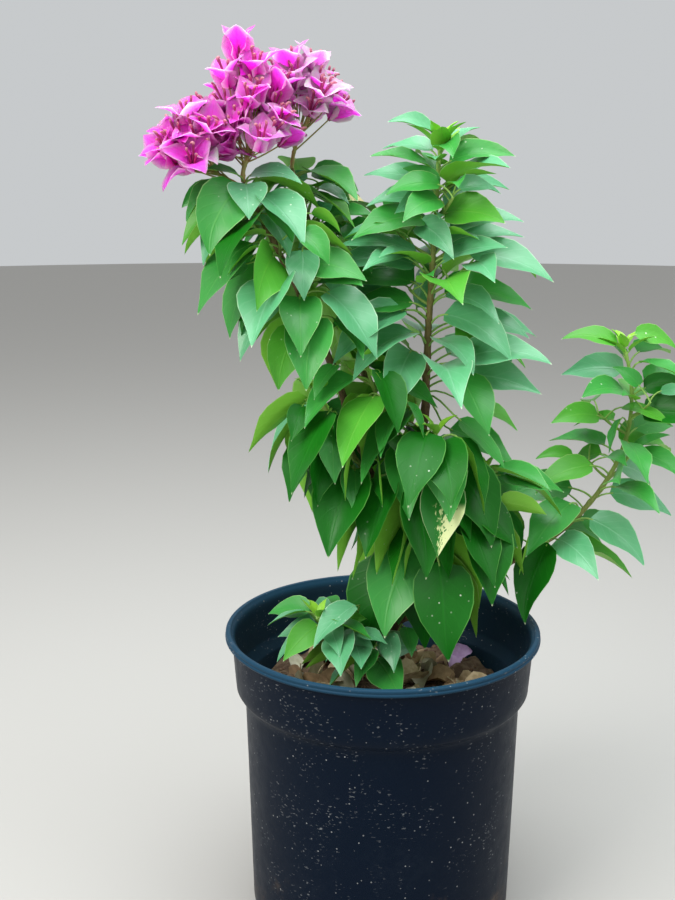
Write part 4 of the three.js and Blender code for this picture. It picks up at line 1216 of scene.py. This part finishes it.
def loosened(leaf, attempt):
    """The same leaf, turned further out of line, as a leaf does to reach the light."""
    turn, dip, lean = [swing(*leaf["key"], 150 + 3 * attempt + i, 1) for i in range(3)]
    return {
        **leaf, "azimuth": leaf["azimuth"] + 0.45 * turn, "pitch": leaf["pitch"] + 0.2 + 0.3 * dip,
        "roll": leaf["roll"] + 0.5 * lean,
    }


def more_leaf(shoot, number, origin, share, size):
    def leaf_try(attempt):
        return loosened(leaf_at(shoot, number, attempt, origin, share, size), attempt)

    return first_that(lambda leaf: is_clear(shoot, leaf), leaf_try)


# %% Finer twigs and more leaves
STEM_LEAF_KEY = 300
FINE_TWIG = {"first": 10, "length": 22, "leaves_at": (0.6, 0.85, 1.0), "key": 500}

for name, shoot in SHOOTS.items():
    path = Path(shoot["path"])
    found = len(leaves[name])
    for number, row in enumerate(EXTRA_LEAVES.get(name, [])):
        leaves[name] += extra_leaf(shoot, number, row, path)
    for i in range(shoot["fill"]):
        share = (i + 0.5) / shoot["fill"]
        origin = path.at(mix(0.04, 0.97, share))
        leaves[name] += more_leaf(shoot, STEM_LEAF_KEY + i, origin, share, shoot["grown"])
    for i in range(shoot["fill"] // 3):
        number = FINE_TWIG["first"] + i
        share = (i + 0.5) / (shoot["fill"] // 3)
        twig = twig_path(shoot, path, number, share, FINE_TWIG["length"])
        fresh = []
        for key, at in enumerate(FINE_TWIG["leaves_at"], FINE_TWIG["key"] + number * 3):
            fresh += more_leaf(shoot, key, twig.at(at), share, 0.55)
        if fresh:
            twigs[name].append(twig)
            leaves[name] += fresh
    print(f"{name}: {len(leaves[name]) - found} more leaves")


# %% [markdown]
# ## Tender tips
# Each growing stem ends in a little rosette of young leaves. They stand nearly upright, are narrow and
# are yellow-green.

# %% Tip leaves
TIP_KEY = 700


def tip_leaf(shoot, number, path):
    spin = number * GOLDEN_ANGLE + shoot["seed"]
    count, longest = shoot["tip"]
    size = longest * mix(1.0, 0.4, number / count)
    origin = path.at(mix(0.95, 1.0, number / count))
    return {
        "origin": origin, "base": origin + towards(spin, 1.4) * 3.0, "azimuth": spin,
        "pitch": math.radians(mix(52, 80, number / count)), "curl": math.radians(46), "roll": 0.0,
        "length": size, "width": size * 0.44, "key": (shoot["seed"], TIP_KEY + number), "tone": "lime",
    }


# %% [markdown]
# ## Leaf and stem meshes
# Each shoot becomes two pieces: its blades, and its wood with the leaf stalks. The stalks bend, which
# is what lets a leaf hang and turn to the light.

# %% Build the shoots
SHOOT_BARK = {"ridge": 0.35, "knob": 0.8, "spacing": 17}

stem_tube = tube_template(14, 80)
twig_tube = tube_template(8, 10)
tone_names = list(leaf_tones)
total_leaves = 0
for name, shoot in SHOOTS.items():
    path = Path(shoot["path"])
    leaves[name] += [tip_leaf(shoot, number, path) for number in range(shoot["tip"][0])]
    total_leaves += len(leaves[name])
    blades, wooden = Gathering(), Gathering()
    stem_age = mix(*shoot["age"], stem_tube.points[:, 2])
    wooden.wrap(stem_tube, path, bark_radius(path, shoot["radius"], **SHOOT_BARK), age=stem_age)
    for twig in twigs[name]:
        wooden.wrap(twig_tube, twig, taper(TWIG["radius"], 0.5), age=0.85)
    for leaf in leaves[name]:
        fold = mix(0.16, 0.5, draw(*leaf["key"], 42))
        wave = mix(0.008, 0.03, draw(*leaf["key"], 43))
        points = leaf_points(leaf, blade, fold, wave, 0.8)
        blades.add(blade, points, tone_names.index(leaf["tone"]), below=len(tone_names))
        radius = mix(0.55, 0.95, min(leaf["length"] / 90, 1))
        wooden.wrap(slim_tube, stalk_path(leaf), taper((radius * 1.25, radius)), 1)
    blades.piece(f"{name}_leaves", [*leaf_tones.values(), backlit_underside], "foliage", name, mapped=True)
    wooden.piece(f"{name}_stems", [young_bark, leaf_stalk], "bark", name, sharp=80)
print("leaves on the whole plant:", total_leaves)

# %% [markdown]
# ## Flower clusters
# Three bracts stand round three slender tubes on every flower stalk, and the triplets crowd over a
# dome. The model has a few larger cups. Here each cup becomes its bracts and tubes, and more triplets
# stand between them on the same dome. A few outer triplets that stand out are placed one by one: the
# end of the stalk, its heading, the bracts' length and how steeply they rise.

# %% Cluster sizes
CLUSTERS = {
    "main_flower_cluster": {
        "seed": 131, "path": [(-124, -20, 704), (-126, -20, 712), (-122, -19, 722), (-118, -17, 730)],
        "radius": (2.1, 1.7), "triplets": 13, "centre": (-118, -16, 742), "half": (34, 32, 58), "more": 13,
        "tones": (0.55, 0.95, 1.0),
        "outer": [((-127, -16, 800), (0, -0.1, 1), 38, 68), ((-108, -46, 728), (0.1, -0.5, 0.9), 36, 56)],
    },
    "left_flower_cluster": {
        "seed": 149, "path": [(-121, -20, 698), (-134, -24, 704), (-144, -26, 710), (-154, -27, 716)],
        "radius": (1.9, 1.5), "triplets": 9, "centre": (-166, -28, 722), "half": (26, 30, 30), "more": 8,
        "tones": (0.6, 0.95, 1.0),
        "outer": [
            ((-164, -40, 712), (-0.7, -0.4, 0.7), 40, 40),
            ((-160, -44, 732), (-0.1, -0.5, 0.9), 40, 52),
        ],
    },
    "right_flower_cluster": {
        "seed": 163, "path": [(-84, 28, 716), (-84, 28, 726), (-80, 27, 738), (-76, 26, 748)],
        "radius": (1.8, 1.5), "triplets": 10, "centre": (-74, 24, 762), "half": (28, 28, 38), "more": 10,
        "tones": (0.1, 0.5, 1.0),
        "outer": [((-54, 18, 766), (0.35, -0.3, 0.9), 36, 26), ((-84, 12, 792), (-0.1, -0.3, 1), 37, 60)],
    },
}
BRACT = {"length": 34, "stray": 0.15, "rise": 56, "rise_stray": 10}
FRONT = np.array([0.0, -1.0, 0.0])
BETWEEN_KEY = 100
OUTER_KEY = 200


def triplet_at(cluster, number, path):
    """A triplet on the dome. A number with a half is one that stands between the model's."""
    seed, between = cluster["seed"], number % 1 > 0
    key = BETWEEN_KEY + round(number * 2) if between else number
    inset = mix(0.55, 0.95, number * 0.618 % 1) if between else 1.0
    height = 1 - 1.35 * (number + 0.5) / cluster["triplets"]
    level = math.sqrt(max(1 - height * height, 0))
    outward = towards(number * GOLDEN_ANGLE + seed) * level + UP * height
    depth = mix(0.68, 0.92, draw(seed, key, 33)) * inset
    return {
        "foot": path.at(mix(0.35, 0.95, draw(seed, key, 34))),
        "tip": np.array(cluster["centre"]) + outward * cluster["half"] * depth,
        "heading": unit(0.85 * outward + UP + 0.2 * FRONT),
        "spin": math.radians(120 * draw(seed, key, 31)),
        "length": BRACT["length"] * (1 + swing(seed, key, 30, BRACT["stray"])),
        "rise": BRACT["rise"] + swing(seed, key, 32, BRACT["rise_stray"]),
        "key": (seed, key),
    }


def outer_triplet(cluster, number, path):
    tip, heading, length, rise = cluster["outer"][number]
    return {
        "foot": path.at(0.9), "tip": np.array(tip, float), "heading": unit(np.array(heading, float)),
        "spin": math.radians(120 * draw(cluster["seed"], number, 35)),
        "length": length, "rise": rise, "key": (cluster["seed"], OUTER_KEY + number),
    }


# %% Bracts and tubes
def turned(heading):
    """The turn that takes up to a heading, as a matrix for rows of points."""
    return np.array(Vector(UP).rotation_difference(Vector(heading)).to_matrix())


def bract_points(triplet, index):
    """One bract: it rises from the stalk's end, widens low down and ends in a point that turns out."""
    across, along, lower = bract_blade.points.T
    drawn = draw(*triplet["key"], 50 + index)
    length = triplet["length"] * (1.0 - 0.14 * drawn)
    pointed = 1 - 0.45 * np.clip((along - 0.6) / 0.4, 0, 1) ** 1.5
    half = 0.38 * length * np.clip(np.sin(math.pi * along**0.78), 0, None) ** 0.65 * pointed
    rise = np.radians(triplet["rise"] + 24 - (26 + 20 * drawn) * along)
    ripple = np.sin(math.tau * 1.8 * along + drawn * 6 + 1.5 * np.sign(across)) * across**2
    cup = 0.34 * across**2 * half + 0.09 * length * ripple * np.sin(math.pi * along)
    cup = cup + lower * 0.35 * (1 - across**2) * np.sin(math.pi * along) ** 0.5
    angle = triplet["spin"] + math.radians(120 * index)
    x = np.cos(rise) * along * length - np.sin(rise) * cup
    y = across * half
    z = np.sin(rise) * along * length + np.cos(rise) * cup
    ahead = x * math.cos(angle) - y * math.sin(angle)
    aside = x * math.sin(angle) + y * math.cos(angle)
    return triplet["tip"] + np.stack([ahead, aside, z], axis=1) @ turned(triplet["heading"]).T


def tube_path(triplet, index):
    aside = towards(triplet["spin"] + math.radians(120 * index + 20))
    height = UP * mix(20, 28, draw(*triplet["key"], 60 + index))
    out = mix(3.5, 6.0, draw(*triplet["key"], 64 + index))
    local = [aside * 0.8, aside * 1.8 + height * 0.35, aside * 2.6 + height * 0.7, aside * out + height]
    return Path([triplet["tip"] + turned(triplet["heading"]) @ point for point in local])


def tube_radius(share, angle):
    return 0.95 + 0.35 * np.exp(-(((share - 0.2) / 0.15) ** 2)) + 0.35 * np.clip((share - 0.75) / 0.25, 0, 1)


def end_path(tube, key, index):
    """The closed end of a flower, which droops to one side once it has withered."""
    start, way = tube.at(0.97), tube.heading(0.97)
    aside = np.array([swing(*key, 80 + index, 1), swing(*key, 84 + index, 1), -0.6 * draw(*key, 88 + index)])
    return Path([start, start + way * 1.5, start + way * 3, start + way * 3 + aside * 3.5])


def flower_stalk_path(triplet):
    foot, heading = triplet["foot"], triplet["heading"]
    sink = triplet["tip"] + heading * 1.5
    knee = mix(foot, sink, 0.6) - heading * 4
    return Path([foot, mix(foot, knee, 0.6), knee, sink])


# %% Build the clusters
CLUSTER_BARK = {"ridge": 0.2, "knob": 0.5, "spacing": 9}

for name, cluster in CLUSTERS.items():
    path = Path(cluster["path"])
    bracts, tubes, stalks = Gathering(), Gathering(), Gathering()
    stalks.wrap(stem_tube, path, bark_radius(path, cluster["radius"], **CLUSTER_BARK))
    numbers = [*range(cluster["triplets"]), *[i + 0.5 for i in range(cluster["more"])]]
    triplets = [triplet_at(cluster, number, path) for number in numbers]
    triplets += [outer_triplet(cluster, number, path) for number in range(len(cluster["outer"]))]
    for triplet in triplets:
        key = triplet["key"]
        for index in range(3):
            stray = (draw(*key, 49) + 0.3 * draw(*key, 70 + index)) % 1
            tone = int(np.searchsorted(cluster["tones"], stray))
            bracts.add(bract_blade, bract_points(triplet, index), tone)
            tube = tube_path(triplet, index)
            tubes.wrap(slim_tube, tube, tube_radius)
            tubes.wrap(slim_tube, end_path(tube, key, index), taper((1.3, 0.9), 0.4), 1)
        stalks.wrap(slim_tube, flower_stalk_path(triplet), taper((0.8, 0.65)))
    bracts.piece(f"{name}_bracts", bract_tones, "blossom", name, mapped=True)
    tubes.piece(f"{name}_tubes", [flower_tube, tube_end], "blossom", name, sharp=80)
    stalks.piece(f"{name}_stalks", [flower_stalk], "bark", name, sharp=80)


# %% [markdown]
# ## Soil and litter
# The root ball fills the pot to 69 mm below the rim. Its top is lumpy and rough with crumbs, and the
# plant's own dry leaves lie curled on it. The lumps repeat the model's rule, and noise adds the rest.

# %% Soil
SOIL = {"level": 221, "foot": (12, 15), "pad": 44, "lump": 4.5, "edge": 128.4}


def lump_at(x, y):
    far = math.hypot(x - SOIL["foot"][0], y - SOIL["foot"][1])
    wave = math.sin(x * 0.09 + 1) * math.cos(y * 0.11) + 0.6 * math.sin(x * 0.21 - y * 0.17)
    height = min(max((far - SOIL["pad"]) / 20, 0), 1) * SOIL["lump"] * wave
    rough = 2.2 * noise.noise(Vector((x / 11, y / 11, 3))) + 1.3 * noise.noise(Vector((x / 4.5, y / 4.5, 8)))
    return max(height, -4) + rough


rings = [(SOIL["edge"] * share, SOIL["level"]) for share in np.linspace(0.99, 0.02, 44)]
soil_profile = [(0, 3.4), (117, 3.4), (122.8, 13), (SOIL["edge"] - 0.3, 214)] + rings + [(0, SOIL["level"])]
soil_mesh = spun(soil_profile, 150)
for vertex in soil_mesh.verts:
    if vertex.co.z > (SOIL["level"] - 1) * MM:
        vertex.co.z += lump_at(vertex.co.x / MM, vertex.co.y / MM) * MM
soil = keep("root_ball", as_data("root_ball", soil_mesh), [potting_soil], "soil", "soil")
soil.data.shade_smooth()

# %% Crumbs
CRUMBS = {"seed": 5, "count": 420, "size": (1.0, 3.6)}

crumb_mesh = bmesh.new()
bmesh.ops.create_icosphere(crumb_mesh, subdivisions=1, radius=1)
crumb = Template(crumb_mesh)
crumbs = Gathering()
for number in range(CRUMBS["count"]):
    far = SOIL["edge"] * 0.96 * math.sqrt((number + 0.5) / CRUMBS["count"])
    x, y, _ = far * towards(number * GOLDEN_ANGLE)
    size = mix(*CRUMBS["size"], draw(CRUMBS["seed"], number, 0) ** 3)
    dents = [0.75 + 0.5 * draw(CRUMBS["seed"], number * 12 + i, 1) for i in range(len(crumb.points))]
    shape = crumb.points * np.array(dents)[:, None] * size * (1, 1, 0.75)
    crumbs.add(crumb, shape + (x, y, SOIL["level"] + lump_at(x, y) + 0.2 * size))
crumbs.piece("soil_crumbs", [soil_crumb], "soil", "soil", sharp=30)

# %% [markdown]
# ## Dry leaves on the soil
# A fallen leaf dries into a curled, crumpled shell. It is the same blade as a live one, with a strong
# curl and a deep waver. They cover most of the soil, with a few straws and one fallen flower, whose
# bracts have faded to lilac.

# %% Dry leaves and straws
LITTER = {"seed": 7, "count": 12, "length": 42, "from": 36, "to": 108, "sunk": 3, "all": 78}
STRAWS = {"seed": 23, "count": 9, "lift": 8.0}


def litter_leaf(number):
    def vary(use):
        return draw(LITTER["seed"], number, use)

    spin = number * GOLDEN_ANGLE + 0.6
    modelled = number < LITTER["count"]
    share = math.sqrt((number + 0.5) / LITTER["count"]) if modelled else vary(8) ** 0.7
    length = LITTER["length"] * (0.7 + 0.5 * vary(0)) * (1 if modelled else 0.85)
    place = towards(spin) * mix(LITTER["from"], LITTER["to"], share)
    lift = SOIL["level"] - LITTER["sunk"] + max(lump_at(*place[:2]), 0) + (0 if modelled else 5 * vary(9))
    return {
        "base": place + UP * lift, "azimuth": spin + math.pi * (0.5 + vary(1)),
        "pitch": math.radians(24 + 14 * vary(2)), "curl": math.radians(70 + 30 * vary(3)),
        "roll": swing(LITTER["seed"], number, 4, 0.4 if modelled else 1.1),
        "length": length, "width": length * 0.66, "key": (LITTER["seed"], number),
    }


def straw_path(number):
    drawn = [draw(STRAWS["seed"], number, use) for use in range(4)]
    place = towards(number * GOLDEN_ANGLE + 2.2) * mix(50, 100, drawn[0])
    middle = place + UP * (SOIL["level"] + STRAWS["lift"])
    half = towards(math.tau * drawn[1], (drawn[2] * 2 - 1) * 0.2) * mix(9, 20, drawn[3])
    return Path([middle - half, middle - half * 0.4 + UP, middle + half * 0.4 + UP * 2, middle + half])


# %% Build the litter
litter = Gathering()
for number in range(LITTER["all"]):
    crumple = mix(0.5, 1.2, draw(LITTER["seed"], number, 44))
    points = leaf_points(litter_leaf(number), blade, crumple, 0.07, 0.7)
    if np.hypot(points[:, 0], points[:, 1]).max() < SOIL["edge"] - 3:
        litter.add(blade, points, number % 3)
for number in range(STRAWS["count"]):
    litter.wrap(slim_tube, straw_path(number), taper((0.9, 0.6)))
fallen = {
    "tip": np.array([76.0, 72.0, 229.0]), "heading": unit(np.array([0.3, -0.6, 1.0])), "spin": 0.4,
    "length": 24, "rise": 14, "key": (LITTER["seed"], 300),
}
for index in range(3):
    litter.add(bract_blade, bract_points(fallen, index), 3)
litter.piece("dry_leaves", litter_tones, "soil", "soil")

# %% [markdown]
# ## Floor
# A plain pale floor shows where the pot stands, and it isn't part of the plant.

# %% Floor
floor_mesh = bmesh.new()
bmesh.ops.create_circle(floor_mesh, cap_ends=True, segments=96, radius=9)
floor = in_scene("pale_floor", as_data("pale_floor", floor_mesh))
paint = Finish("pale_floor_paint", {"Base Color": linear("#b8b5b0"), "Roughness": 0.9, "IOR": 1.5})
floor.data.materials.append(paint.material)
